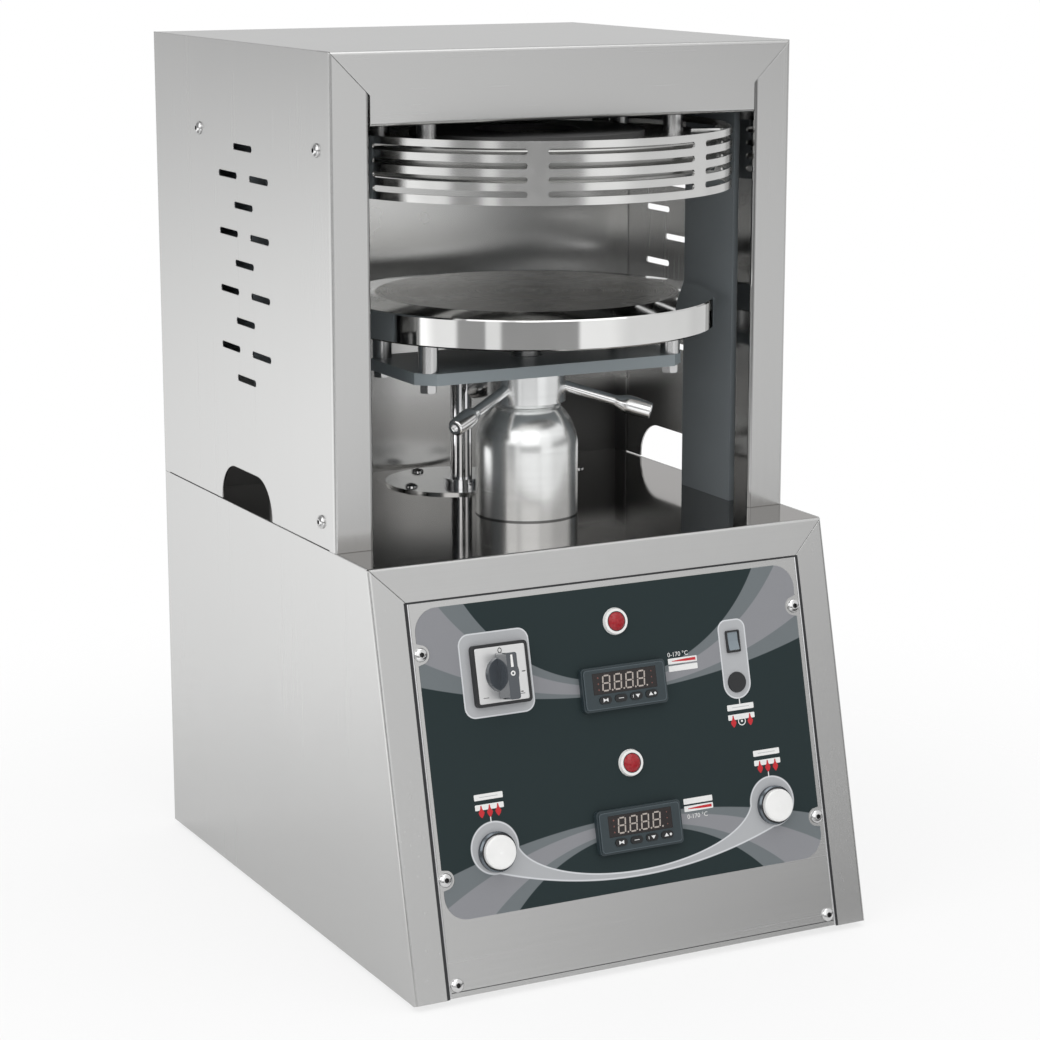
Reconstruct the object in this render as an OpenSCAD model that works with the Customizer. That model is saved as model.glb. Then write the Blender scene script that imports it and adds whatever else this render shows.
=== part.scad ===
// Pizza dough press: a heated lower platen rises into a slotted guard ring and squeezes the dough
// against a heated upper platen. Millimetres, +Z up, front towards -Y, origin on the floor at the middle.

/* [Cabinet] */
// Depth of the base at the floor
depth = 540; // [520:1:600]
// Height of the deck, the top of the base
deck_z = 345; // [335:1:380]
// Thickness of the stainless sheet
sheet = 1.5; // [1:0.1:2]
// Outer radius of the folds in the stainless sheet
bend_r = 3; // [2.4:0.1:4]
// How far the front of the base leans back over its height
front_run = 84; // [60:1:110]
// Distance from the deck's front edge back to the front of the hood
hood_setback = 63; // [50:1:68]
// Gap between the floor and the sheet
foot_gap = 4; // [3:0.5:10]
// Radius of the rubber feet
foot_r = 14; // [10:0.5:18]
// Distance of the feet from the cabinet's sides and ends
foot_inset = 26; // [22:1:34]
// Width of the strip of sheet round the control panel
border = 29.5; // [24:0.5:34]
// Width of the strip behind the control panel that its screws hold to
backing_w = 24; // [18:1:30]
// Width of the floor flanges of the base sides
floor_flange = 45; // [42:1:60]

/* [Hood] */
// Gap between the crosshead and the top of the hood
top_gap = 16.5; // [8:0.5:30]
// Width of the jambs beside the opening
jamb_w = 35; // [28:1:35]
// Height of the header over the opening
header_h = 60; // [50:1:64]
// Depth of the folded lips inside the opening
lip_d = 24; // [10:1:24]
// Distance of the polished inner back wall behind the press axis
chamber_back = 220; // [190:1:235]
// Depth of the inner back wall's side flanges
chamber_flange = 20; // [14:1:26]
// Length of a vent slot
slot_l = 42; // [30:1:46]
// Height of a vent slot
slot_h = 5.5; // [4:0.5:7]
// Height from one row of vent slots to the next
slot_pitch = 25; // [18:1:26]
// Distance between the two slots of a paired row
slot_pair = 69.5; // [60:0.5:76]
// Rows of vent slots, single and paired in turn
slot_rows = 9; // [5:2:9]
// Height of the lowest row of vent slots above the deck
slot_low = 116; // [100:1:122]
// Distance of the vent slots behind the press axis
slot_back = 110; // [95:1:115]
// Width of the arch at the foot of each hood side
arch_w = 116; // [80:1:124]
// Height of that arch
arch_h = 35; // [26:1:42]
// Radius of the arch's upper corners
arch_r = 33; // [18:1:34]

/* [Press frame] */
// Distance of the press axis behind the deck's front edge
axis_back = 138; // [130:1:144]
// Gap between the guard ring and an upright
guard_room = 7; // [4:0.5:12]
// Gap between an upright and the side sheet
side_gap = 20.5; // [16:0.5:30]
// Thickness of an upright
upright_t = 12; // [8:1:14]
// Width of an upright
upright_w = 82; // [60:1:90]
// Depth of the crosshead and the bolster
beam_d = 124; // [118:1:140]
// Thickness of the crosshead
crosshead_t = 20; // [14:1:22]
// Height of the spacers between the crosshead and the upper platen
upper_spacer_h = 41; // [36:1:48]
// Thickness of the bolster under the deck
bolster_t = 24; // [18:1:30]
// Radius of the frame bolts
frame_bolt_r = 5; // [4:0.5:6]

/* [Platens] */
// Radius of both platens
platen_r = 161; // [150:0.5:172]
// Height of the polished rim of the lower platen
rim_h = 25; // [20:0.5:30]
// Width of the lower platen's bevelled border
bevel_w = 31; // [20:1:40]
// Drop of that border
bevel_drop = 3; // [1:0.5:5]
// Thickness of the upper platen
upper_t = 26; // [20:0.5:30]
// Gap between the platens with the press open
daylight = 107; // [107:1:116]
// Height of the carrier plate's underside above the deck
carrier_up = 128.5; // [126:0.5:132]
// Thickness of the carrier plate
carrier_t = 10; // [8:0.5:14]
// Height of the spacers between carrier plate and lower platen
spacer_h = 28; // [24:0.5:34]
// Radius of the spacers
spacer_r = 8.5; // [6:0.5:10]
// Half the sideways distance between spacers
spacer_dx = 116; // [100:1:118]
// Half the front to back distance between spacers
spacer_dy = 46; // [36:1:48]
// Margin of the carrier plate outside the spacers' axes
carrier_margin = 12; // [10:0.5:14]
// Outer radius of the flat ring heaters
heater_r = 100; // [80:1:102]
// Inner radius of the flat ring heaters
heater_hole_r = 45; // [30:1:60]
// Thickness of the flat ring heaters
heater_t = 5; // [3:0.5:8]

/* [Guard ring] */
// Gap between the platens and the outside of the guard ring
guard_gap = 13; // [9:0.5:16]
// Thickness of the guard ring
guard_t = 1.8; // [1.2:0.1:2.5]
// Height of the guard ring
guard_h = 51; // [50:0.5:60]
// Height of the ring's top edge above the upper platen
guard_over = 8.5; // [8:0.5:10]
// Columns of slots round the ring
guard_columns = 7; // [5:1:8]
// Rows of slots in the ring
guard_rows = 4; // [2:1:4]
// Height of a slot in the ring
guard_slot_h = 5; // [3:0.5:6]
// Height from one row of slots to the next
guard_pitch = 11.2; // [8:0.1:11.5]
// Height of the lowest row above the ring's lower edge
guard_low = 9; // [8:0.5:10]
// Width of the solid web between columns
guard_web = 16.5; // [14:0.5:24]
// Direction of the first web, in degrees from +X
guard_turn = -114.6; // [-130:0.2:-100]

/* [Ram and thickness hub] */
// Radius of the ram
ram_r = 17; // [15:0.5:18]
// Length of the ram below its shoulder
ram_l = 230; // [225:1:240]
// Radius of the ram's threaded neck
neck_r = 14; // [10:0.5:14]
// Radius of the bell housing at the deck
bell_r = 44.5; // [40:0.5:50]
// Radius of the bell's shoulder curve
bell_curve = 46; // [42:1:56]
// Height of the bell housing's straight wall
bell_wall = 60; // [54:1:64]
// Height of the bell housing
bell_h = 95.5; // [92:0.5:98]
// Thickness of the bell's bronze bush
bush_t = 3; // [2:0.5:4]
// Gap between the bell and the hub
hub_gap = 1; // [0.5:0.1:2]
// Radius of the thickness hub
hub_r = 34; // [28:0.5:36]
// Radius of a hub handle's rod
handle_r = 4.75; // [3.5:0.25:5]
// Radius of a hub handle's knob
grip_r = 7.8; // [6:0.2:8.4]
// Length of a hub handle's knob
grip_l = 28; // [20:1:32]
// Reach of the handles from the press axis
handle_reach = 108; // [90:1:110]
// Slope of the handles below level, in degrees
handle_slope = 16; // [8:1:20]
// Direction of the first handle, in degrees from +X
handle_turn = 208.6; // [200:0.2:216]
// Radius of the lead screw
screw_r = 8; // [6:0.5:9]

/* [Guide rod] */
// Radius of the guide rod
rod_r = 10; // [8:0.5:11]
// Distance of the guide rod behind the press axis
rod_back = 129; // [124:1:134]
// Radius of the round cover on the deck
cover_r = 61; // [50:1:64]
// Thickness of the round cover
cover_t = 2; // [1.5:0.5:3]
// Distance of the round cover's centre behind the press axis
cover_back = 148; // [144:1:152]
// Direction of the first cover screw, in degrees from +X
cover_turn = 105; // [95:1:115]

/* [Control panel] */
// Distance down the slope to the lever switch's centre
switch_s = 96; // [90:1:100]
// Distance of the lever switch's centre from the panel's left end
switch_in = 76.5; // [66:0.5:84]
// Width of the lever switch's square frame
switch_w = 50.5; // [46:0.5:54]
// Distance down the slope to the upper controller's centre
upper_s = 119.8; // [114:0.2:124]
// Distance down the slope to the lower controller's centre
lower_s = 238; // [232:0.2:244]
// Sideways place of the controllers
controller_x = 2.5; // [-4:0.5:6]
// Width of a controller's bezel
bezel_w = 79.7; // [76:0.1:82]
// Height of a controller's bezel
bezel_h = 36.6; // [35:0.1:40]
// Distance from a controller's centre up the slope to its pilot lamp
pilot_up = 54; // [50:0.5:58]
// Radius of a pilot lamp's ring
pilot_r = 11.5; // [10:0.5:13]
// Distance down the slope to the push buttons
button_s = 238.5; // [232:0.5:244]
// Distance of the left push button from the panel's left end
left_button_in = 56.5; // [48:0.5:62]
// Distance of the right push button from the panel's right end
right_button_in = 49.5; // [44:0.5:60]
// Radius of a push button's ring
button_ring_r = 16.5; // [15:0.5:19]
// Travel of a push button
button_travel = 3.5; // [2:0.5:4]
// Distance of the rocker switch and the fuse cap from the panel's right end
rocker_in = 72.7; // [66:0.1:80]
// Distance down the slope to the rocker switch
rocker_s = 95.6; // [92:0.2:99]
// Distance down the slope to the fuse cap
fuse_s = 130.4; // [126:0.2:136]
// Travel of a controller key
key_travel = 0.5; // [0.3:0.1:0.6]

/* [Hidden] */
$fn = 64;

// Clearances: sheet to sheet, fixed pieces in their holes, and running fits
seam = 0.3;
fit = 0.2;
run = 0.05;
// Overlap of a cutting tool past the face it cuts
past = 1;

// Colours of the finishes
stainless = [0.74, 0.74, 0.73];
polished = [0.80, 0.80, 0.79];
paint = [0.42, 0.47, 0.51];
steel = [0.68, 0.69, 0.70];
dark = [0.13, 0.14, 0.15];
bezel_grey = [0.18, 0.21, 0.23];
bronze = [0.62, 0.47, 0.28];

// Width of the cabinet, from the platens out: guard ring, uprights, side sheets
guard_r = platen_r + guard_gap;
upright_x = guard_r + guard_room;
width = 2 * (upright_x + upright_t + side_gap + sheet);

// Cabinet planes
side_in = width / 2 - sheet;
sheet_x = side_in - seam;
front_top_y = -depth / 2 + front_run;
rear_in = depth / 2 - sheet;
hood_y = front_top_y + hood_setback;
slope_rise = deck_z - foot_gap;
slope_l = sqrt(slope_rise * slope_rise + front_run * front_run);
lean = atan(front_run / slope_rise);
panel_x = width / 2 - border;
floor_z = foot_gap + sheet;
mitre_gap = 2 * seam;
panel_gap = 0.8;
// Where the retracted flat sheets end beside a fold: along the slope, and level with the deck
fold_l = bend_r * tan((90 - lean) / 2);
fold_y = bend_r / cos(lean);
jamb_x = width / 2 - jamb_w;

// Press axis and the heights of the stack on it
axis_y = front_top_y + axis_back;
bolster_top = deck_z - sheet;
carrier_z = deck_z + carrier_up;
spacer_z = carrier_z + carrier_t;
platen_z = spacer_z + spacer_h;
platen_top = platen_z + rim_h + bevel_drop;
upper_face = platen_top + daylight;
upper_top = upper_face + upper_t;
crosshead_z = upper_top + upper_spacer_h;
height = crosshead_z + crosshead_t + top_gap;
guard_z = upper_top + guard_over - guard_h;
chamber_y = axis_y + chamber_back;
slot_y = axis_y + slot_back;
arch_y = slot_y + 6;
vent_z = deck_z + slot_low;
vent_top = vent_z + (slot_rows - 1) * slot_pitch;
vent_edge = 14;
beam_x = upright_x - fit;
header_lip = max(bend_r + 1, min(12, axis_y - spacer_dy - spacer_r - 2 - hood_y));
lip_clear = 3;
hood_gap = 0.9;
hood_pad = 12;
rod_y = axis_y + rod_back;
cover_y = axis_y + cover_back;

// Screws of the housing: dome head, hexagon socket and shank
screw_head_r = 4.8;
screw_head_h = 2.6;
screw_shank_r = 2.5;
screw_l = 7;
screw_hole_r = screw_shank_r + fit;
panel_screw_x = panel_x - 8.5;
panel_screw_s = [72.5, 254.5, slope_l - 12];
hood_screw_up = 22;
hood_screw_drop = 42.5;
hood_screw_z = [deck_z + hood_screw_up, crosshead_z - hood_screw_drop];
lug_front = 15;
lug_lap = 6;
lug_w = 16;
hood_screw_y = axis_y - upright_w / 2 - lug_front + lug_w / 2;
back_screw_y = chamber_y - chamber_flange / 2;
cover_screw_r = cover_r - 12;
deck_screw_in = 50;
deck_screw_x = upright_x - deck_screw_in;
cover_hole_r = cover_r - 18;

// Frame bolts: two through each end of the crosshead and the bolster
frame_head_r = 8;
frame_head_h = 6;
frame_bolt_dy = upright_w / 4;
frame_bolt_l = upright_t + 24;

// Ram, hub and screw heights
bell_top = deck_z + bell_h;
ram_shoulder = bell_top + hub_gap / 2;
ram_low = ram_shoulder - ram_l;
hub_low = bell_top + hub_gap;
hub_spigot_r = neck_r;
hub_cap = 3;
hub_chamfer = 3;
ram_top = carrier_z - hub_cap;
nut_h = 30;
screw_bore_r = screw_r + 3;
bush_low = deck_z + bell_wall;
bell_wall_t = 9;
gearbox_w = 120;
gearbox_d = 110;
gearbox_h = 143;
gearbox_top = floor_z + sheet + gearbox_h;
screw_collar_r = screw_r + 6;
screw_collar_h = 8;
screw_tail = 38;
screw_reach = 110;
screw_bore_end = 20;
screw_top = ram_low + nut_h + screw_reach;
motor_r = 46;
motor_end = 10;
motor_gap = 13.5;
motor_l = side_in - gearbox_w / 2 - motor_end - motor_gap;
gearbox_foot = 15;
motor_z = floor_z + sheet + 66;

// Handles: root on the hub wall, rod, then an egg-shaped grip cut flat at its tip
handle_root = 8;
handle_z = hub_low + (carrier_z - hub_low) * 0.47;
handle_l = (handle_reach - hub_r) / cos(handle_slope);

// Guide rod and its bush
rod_l = 285;
rod_low = carrier_z - rod_l;
rod_neck_r = rod_r - 3;
bush_wall = 3.2;
guide_flange_r = rod_r + 6;
guide_flange_h = 6;
guide_groove = 1.2;
guide_bush_l = 48;
rod_nut_r = rod_r + 1;
rod_nut_h = 8;
tongue_r = rod_r + 11;

// Carrier plate
carrier_x = spacer_dx + carrier_margin;
carrier_y = spacer_dy + carrier_margin;
carrier_chamfer = 14;
carrier_bolt_r = 4;
carrier_head_r = 7.5;
carrier_head_h = 7;
boss_r = 12;
boss_flange_r = 22;
boss_flange_h = 4;

// Lever switch
switch_x = switch_in - panel_x;
switch_front = 5.5;
switch_recess = 0.8;
switch_rim = 2.6;
switch_neck_r = 10;
switch_body_w = 45;
switch_body_d = 42;
lever_skirt_r = 15;
lever_skirt_h = 3;
lever_w = 9.5;
lever_l = 38;
lever_h = 20;
lever_drop = 3.2;
lever_shaft_r = 3;
lever_shaft_l = 12;

// Controllers
bezel_front = 6;
bezel_r = 3.5;
controller_body_w = bezel_w - 9;
controller_body_h = bezel_h - 8;
controller_body_d = 58;
lens_w = 60;
lens_h = 17.5;
lens_t = 1.2;
lens_dy = bezel_h / 2 - 5 - lens_h / 2;
key_w = 11.5;
key_h = 6;
key_pitch = 14.6;
key_shift = 2;
key_dy = 9 - bezel_h / 2;
key_proud = 0.7;
key_stem = 2.6;
key_pocket = 4;
key_gap = 0.15;

// Pilot lamps, push buttons, rocker and fuse cap
left_button_x = left_button_in - panel_x;
right_button_x = panel_x - right_button_in;
rocker_x = panel_x - rocker_in;
pilot_lens_r = pilot_r - 3.8;
pilot_ring_h = 3;
pilot_barrel_r = 7;
pilot_barrel_l = 26;
pilot_dome = 3.4;
button_cap_r = button_ring_r - 2.6;
button_ring_h = 5;
button_floor = 1.2;
button_cap_h = 4.4;
button_stem_r = 7;
button_stem_l = 12;
button_barrel_r = 11;
button_barrel_l = 34;
rocker_w = 13.2;
rocker_h = 18.7;
rocker_rim = 1.3;
rocker_front = 2;
rocker_body_w = rocker_w - 2 * rocker_rim + 1;
rocker_body_h = rocker_h - 2 * rocker_rim + 1;
rocker_body_d = 20;
rocker_gap = 0.45;
rocker_tilt = 6;
rocker_pivot = -0.5;
fuse_r = 9;
fuse_front = 1.6;
fuse_barrel_r = 6.2;
fuse_barrel_l = 30;

// Cable entry: a pocket in the rear panel with a gland in its inner wall
pocket_w = 90;
pocket_h = 70;
pocket_d = 30;
pocket_side = 83.5;
pocket_up = 70;
pocket_x = side_in - pocket_side;
pocket_z = floor_z + pocket_up;
gland_bore_r = 6;
gland_thread_r = 10;
gland_nut_r = 14.5;
gland_nut_h = 6;
gland_cap_r = 12;
gland_cap_l = 16;

// Shared helpers

// Extrudes an outline given in Y and Z along +X
module along_x(l) {
    rotate([90, 0, 90]) linear_extrude(l) children();
}

// Extrudes an outline given in X and Z along +Y, from a start
module along_y(y0, l) {
    translate([0, y0 + l, 0]) rotate([90, 0, 0]) linear_extrude(l) children();
}

// Puts children on the sloping front: +X right, +Y up the slope, +Z out of it
module on_front() {
    translate([0, front_top_y, deck_z]) rotate([90 - lean, 0, 0]) children();
}

// Puts children at a place on the sloping front
module at_panel(x, s) {
    on_front() translate([x, -s, 0]) children();
}

// Mirrors children to both sides
module both_sides() {
    children();
    mirror([1, 0, 0]) children();
}

// The outline of a fold: a ring of sheet between two directions, in degrees
module fold(a0, a1) {
    far = 3 * bend_r;
    mid = (a0 + a1) / 2;
    intersection() {
        difference() {
            circle(bend_r);
            circle(bend_r - sheet);
        }
        polygon([[0, 0], [far * cos(a0), far * sin(a0)], [far * cos(mid), far * sin(mid)],
                 [far * cos(a1), far * sin(a1)]]);
    }
}

module round_rect(w, h, r) {
    square([w - 2 * r, h], center = true);
    square([w, h - 2 * r], center = true);
    for (i = [-1, 1], j = [-1, 1]) translate([i * (w / 2 - r), j * (h / 2 - r)]) circle(r);
}

// A slot with round ends along X
module slot(l, h) {
    square([l - h, h], center = true);
    for (i = [-1, 1]) translate([i * (l - h) / 2, 0]) circle(h / 2);
}

module tube(r, bore, h) {
    difference() {
        cylinder(r = r, h = h);
        translate([0, 0, -past]) cylinder(r = bore, h = h + 2 * past);
    }
}

// Dome-headed screw, its seat at z = 0
module dome_screw() {
    ball = (screw_head_r * screw_head_r + screw_head_h * screw_head_h) / (2 * screw_head_h);
    difference() {
        rotate_extrude() intersection() {
            translate([0, screw_head_h - ball]) circle(ball);
            square([screw_head_r, screw_head_h]);
        }
        translate([0, 0, screw_head_h - 1.6]) cylinder(r = 1.7, h = 2, $fn = 6);
    }
    translate([0, 0, -screw_l]) cylinder(r = screw_shank_r, h = screw_l);
}

// Hexagon bolt, its seat at z = 0 and its shank downwards
module hex_bolt(head_r, head_h, shank_r, l) {
    intersection() {
        cylinder(r = head_r, h = head_h, $fn = 6);
        cylinder(r1 = head_r + head_h * 0.7, r2 = head_r * 0.93, h = head_h);
    }
    translate([0, 0, -l]) cylinder(r = shank_r, h = l);
}

// Places of the four spacers round the press axis
module at_spacers() {
    for (i = [-1, 1], j = [-1, 1]) translate([i * spacer_dx, axis_y + j * spacer_dy, 0]) children();
}

// Vent slots: single and paired rows in turn, upwards from the origin
module vent_pattern() {
    for (row = [0 : slot_rows - 1]) translate([0, row * slot_pitch]) {
        if (row % 2 == 0) slot(slot_l, slot_h);
        else for (i = [-1, 1]) translate([i * slot_pair / 2, 0]) slot(slot_l, slot_h);
    }
}

// Base

// Mitred front strip of a base side, folded from the side sheet along the slope
module base_side_strip() {
    difference() {
        on_front() translate([0, 2, 0]) rotate([90, 0, 0]) linear_extrude(slope_l + 1) {
            translate([panel_x, -sheet]) square([border - bend_r, sheet]);
            translate([width / 2 - bend_r, -bend_r]) fold(0, 90);
            translate([side_in, -2 * bend_r]) square([sheet, bend_r]);
        }
        on_front() translate([0, 0, -3 * bend_r]) linear_extrude(4 * bend_r)
            polygon([[width / 2 + 4, 4], [panel_x - 4, -border - 4], [panel_x - 4, 8], [width / 2 + 4, 8]]);
    }
}

module base_side() {
    difference() {
        union() {
            translate([side_in, 0, 0]) along_x(sheet)
                polygon([[depth / 2, foot_gap], [depth / 2, deck_z],
                         [front_top_y + fold_y, deck_z], [fold_y - depth / 2, foot_gap]]);
            base_side_strip();
            on_front() translate([panel_x - backing_w, 6 - slope_l, -2 * sheet])
                cube([backing_w + border / 2, slope_l - border - 12, sheet]);
            translate([width / 2 - floor_flange, 12 - depth / 2, foot_gap])
                cube([floor_flange - sheet / 2, depth - 12 - sheet - seam, sheet]);
        }
        for (s = panel_screw_s) at_panel(panel_screw_x, s)
            translate([0, 0, -screw_l]) cylinder(r = screw_hole_r, h = screw_l + past);
        for (j = [-1, 1]) translate([width / 2 - foot_inset, j * (depth / 2 - 2 * foot_inset), 0])
            cylinder(r = foot_r / 3 + fit, h = foot_gap + sheet + past);
    }
}

module base_left_side() {
    color(stainless) mirror([1, 0, 0]) base_side();
}

module base_right_side() {
    color(stainless) base_side();
}

// Mitred front strip of the deck, folded down along its front edge
module deck_strip() {
    end_x = panel_x - mitre_gap;
    difference() {
        union() {
            translate([-sheet_x, front_top_y + fold_l, deck_z - bend_r]) along_x(2 * sheet_x)
                fold(90, 180 - lean);
            on_front() translate([-sheet_x, -border, -sheet])
                cube([2 * sheet_x, border - fold_l + sheet / 4, sheet]);
        }
        both_sides() on_front() translate([0, 0, -2 * bend_r]) linear_extrude(3 * bend_r)
            polygon([[end_x - 4, -border - 4], [width / 2 - mitre_gap + 4, 4], [width / 2 + 8, 4],
                     [width / 2 + 8, -border - 4]]);
    }
}

module base_deck() {
    color(polished) difference() {
        union() {
            translate([-sheet_x, front_top_y + fold_l, deck_z - sheet])
                cube([2 * sheet_x, rear_in - seam - front_top_y - fold_l, sheet]);
            deck_strip();
        }
        translate([0, axis_y, deck_z - sheet - past])
            cylinder(r = bell_r - bell_wall_t, h = sheet + 2 * past);
        translate([0, cover_y, deck_z - sheet - past]) cylinder(r = cover_hole_r, h = sheet + 2 * past);
        both_sides() translate([upright_x - seam, axis_y - upright_w / 2 - seam, deck_z - sheet - past])
            cube([upright_t + 2 * seam, upright_w + 2 * seam, sheet + 2 * past]);
        for (a = [0 : 90 : 270]) translate([0, cover_y, 0]) rotate([0, 0, cover_turn + a])
            translate([cover_screw_r, 0, deck_z - sheet - past])
                cylinder(r = screw_hole_r, h = sheet + 2 * past);
        both_sides() translate([deck_screw_x, cover_y, deck_z - sheet - past])
            cylinder(r = screw_hole_r, h = sheet + 2 * past);
    }
}

module base_rear_panel() {
    top = deck_z - sheet - seam;
    color(stainless) difference() {
        union() {
            translate([-sheet_x, rear_in, floor_z]) cube([2 * sheet_x, sheet, top - floor_z]);
            translate([pocket_x, rear_in - pocket_d - sheet, pocket_z])
                translate([-pocket_w / 2 - sheet, 0, -pocket_h / 2 - sheet])
                    cube([pocket_w + 2 * sheet, pocket_d + 2 * sheet, pocket_h + 2 * sheet]);
        }
        translate([pocket_x - pocket_w / 2, rear_in - pocket_d, pocket_z - pocket_h / 2])
            cube([pocket_w, pocket_d + sheet + past, pocket_h]);
        translate([pocket_x, rear_in - pocket_d + past, pocket_z]) rotate([90, 0, 0])
            cylinder(r = gland_thread_r + fit, h = sheet + 2 * past);
        along_y(rear_in - past, sheet + 2 * past) translate([-slot_pair, floor_z + 50]) vent_pattern();
    }
}

module base_floor() {
    front = front_top_y - front_run * (slope_rise - sheet) / slope_rise + 4 * sheet + past;
    color(stainless) difference() {
        translate([-sheet_x, front, floor_z]) cube([2 * sheet_x, rear_in - seam - front, sheet]);
        for (i = [-1, 1], j = [-1, 1])
            translate([i * (width / 2 - foot_inset), j * (depth / 2 - 2 * foot_inset), floor_z - past])
                cylinder(r = foot_r / 3 + fit, h = sheet + 2 * past);
    }
}

module feet() {
    color(dark) for (i = [-1, 1], j = [-1, 1])
        translate([i * (width / 2 - foot_inset), j * (depth / 2 - 2 * foot_inset), 0]) {
            cylinder(r1 = foot_r - 1.5, r2 = foot_r, h = foot_gap);
            cylinder(r = foot_r / 3, h = floor_z + 2 * sheet);
        }
}

module cable_gland() {
    wall_y = rear_in - pocket_d;
    color(dark) difference() {
        translate([pocket_x, wall_y, pocket_z]) rotate([-90, 0, 0]) {
            cylinder(r = gland_nut_r, h = gland_nut_h, $fn = 6);
            translate([0, 0, gland_nut_h])
                cylinder(r1 = gland_cap_r, r2 = gland_cap_r - 2, h = gland_cap_l);
            translate([0, 0, -12]) cylinder(r = gland_thread_r, h = 12);
            translate([0, 0, -sheet - 6]) cylinder(r = gland_nut_r, h = 6, $fn = 6);
        }
        translate([pocket_x, wall_y - 12 - past, pocket_z]) rotate([-90, 0, 0])
            cylinder(r = gland_bore_r, h = gland_cap_l + gland_nut_h + 12 + 2 * past);
    }
}

// Hood

// Plan outline of a hood side: side sheet, jamb and lip with their folds
module hood_side_outline() {
    translate([side_in, hood_y + bend_r]) square([sheet, depth / 2 - hood_y - bend_r]);
    translate([width / 2 - bend_r, hood_y + bend_r]) fold(270, 360);
    translate([jamb_x + bend_r, hood_y]) square([jamb_w - 2 * bend_r, sheet]);
    translate([jamb_x + bend_r, hood_y + bend_r]) fold(180, 270);
    translate([jamb_x, hood_y + bend_r]) square([sheet, lip_d - bend_r]);
}

module hood_side() {
    difference() {
        translate([0, 0, deck_z]) linear_extrude(height - deck_z) hood_side_outline();
        along_y(hood_y - past, lip_d + 2 * past)
            polygon([[jamb_x - 4, height - jamb_w - 4], [width / 2 + 4, height + 4],
                     [jamb_x - 4, height + 4]]);
        translate([jamb_x - past, hood_y + bend_r, crosshead_z - lip_clear])
            cube([sheet + 2 * past, lip_d, header_h]);
        translate([side_in - past, 0, 0]) along_x(sheet + 2 * past) {
            translate([slot_y, deck_z + slot_low]) vent_pattern();
            translate([arch_y, deck_z]) intersection() {
                round_rect(arch_w, 2 * arch_h, arch_r);
                translate([-arch_w, -past]) square([2 * arch_w, arch_h + 2 * past]);
            }
        }
        translate([side_in - past, hood_y + hood_pad, deck_z - past])
            cube([sheet + 2 * past, depth / 2 - hood_y - 2 * hood_pad, hood_gap + past]);
        for (z = hood_screw_z) hood_screw_hole(hood_screw_y, z);
        hood_screw_hole(back_screw_y, hood_screw_z[1]);
    }
}

module hood_screw_hole(y, z) {
    translate([side_in - past, y, z]) rotate([0, 90, 0]) cylinder(r = screw_hole_r, h = sheet + 2 * past);
}

module hood_left_side() {
    color(stainless) mirror([1, 0, 0]) hood_side();
}

module hood_right_side() {
    color(stainless) hood_side();
}

// Side outline of the hood top, in Y and Z: top sheet, header and lip with their folds
module hood_top_outline() {
    low = height - header_h;
    translate([hood_y + bend_r, height - sheet]) square([rear_in - seam - hood_y - bend_r, sheet]);
    translate([hood_y + bend_r, height - bend_r]) fold(90, 180);
    translate([hood_y, low + bend_r]) square([sheet, header_h - 2 * bend_r]);
    translate([hood_y + bend_r, low + bend_r]) fold(180, 270);
    translate([hood_y + bend_r, low]) square([header_lip - bend_r, sheet]);
}

module hood_top() {
    low = height - header_h;
    edge_x = jamb_x - mitre_gap;
    color(stainless) difference() {
        translate([-sheet_x, 0, 0]) along_x(2 * sheet_x) hood_top_outline();
        both_sides() along_y(hood_y - past, header_lip + 2 * past)
            polygon([[edge_x, low - past], [edge_x, height - jamb_w],
                     [edge_x + jamb_w - sheet, height - sheet], [width / 2, height - sheet],
                     [width / 2, low - past]]);
    }
}

module hood_back() {
    color(stainless) difference() {
        translate([-sheet_x, rear_in, deck_z]) cube([2 * sheet_x, sheet, height - sheet - seam - deck_z]);
        for (i = [-1, 1]) along_y(rear_in - past, sheet + 2 * past)
            translate([i * slot_pair, deck_z + slot_low]) vent_pattern();
    }
}

module chamber_back_wall() {
    tall = height - sheet - seam - deck_z - 8;
    color(polished) difference() {
        union() {
            translate([-sheet_x, chamber_y, deck_z]) cube([2 * sheet_x, sheet, tall]);
            for (x = [-sheet_x, sheet_x - sheet]) translate([x, chamber_y - chamber_flange, deck_z])
                cube([sheet, chamber_flange + sheet, tall]);
        }
        both_sides() translate([sheet_x - sheet - past, back_screw_y, hood_screw_z[1]]) rotate([0, 90, 0])
            cylinder(r = screw_hole_r, h = sheet + 2 * past);
    }
}

module housing_screws() {
    color(steel) {
        both_sides() {
            for (s = panel_screw_s) at_panel(panel_screw_x, s) dome_screw();
            for (z = hood_screw_z) translate([width / 2, hood_screw_y, z]) rotate([0, 90, 0]) dome_screw();
            translate([width / 2, back_screw_y, hood_screw_z[1]]) rotate([0, 90, 0]) dome_screw();
            translate([deck_screw_x, cover_y, deck_z]) dome_screw();
        }
        for (a = [0 : 90 : 270]) translate([0, cover_y, deck_z + cover_t]) rotate([0, 0, cover_turn + a])
            translate([cover_screw_r, 0, 0]) dome_screw();
    }
}

// Press frame

module upright() {
    low = bolster_top - bolster_t;
    top = crosshead_z + crosshead_t;
    difference() {
        union() {
            translate([upright_x, axis_y - upright_w / 2, low]) cube([upright_t, upright_w, top - low]);
            for (z = hood_screw_z)
                translate([upright_x + upright_t / 2, hood_screw_y - lug_w / 2, z - lug_w / 2])
                    cube([side_in - seam - upright_x - upright_t / 2, lug_front + lug_lap, lug_w]);
        }
        for (z = hood_screw_z) translate([side_in - screw_l, hood_screw_y, z]) rotate([0, 90, 0])
            cylinder(r = screw_hole_r, h = screw_l + past);
        for (j = [-1, 1], z = [bolster_top - bolster_t / 2, crosshead_z + crosshead_t / 2])
            translate([upright_x - past, axis_y + j * frame_bolt_dy, z]) rotate([0, 90, 0])
                cylinder(r = frame_bolt_r + fit, h = upright_t + 2 * past);
    }
}

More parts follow.
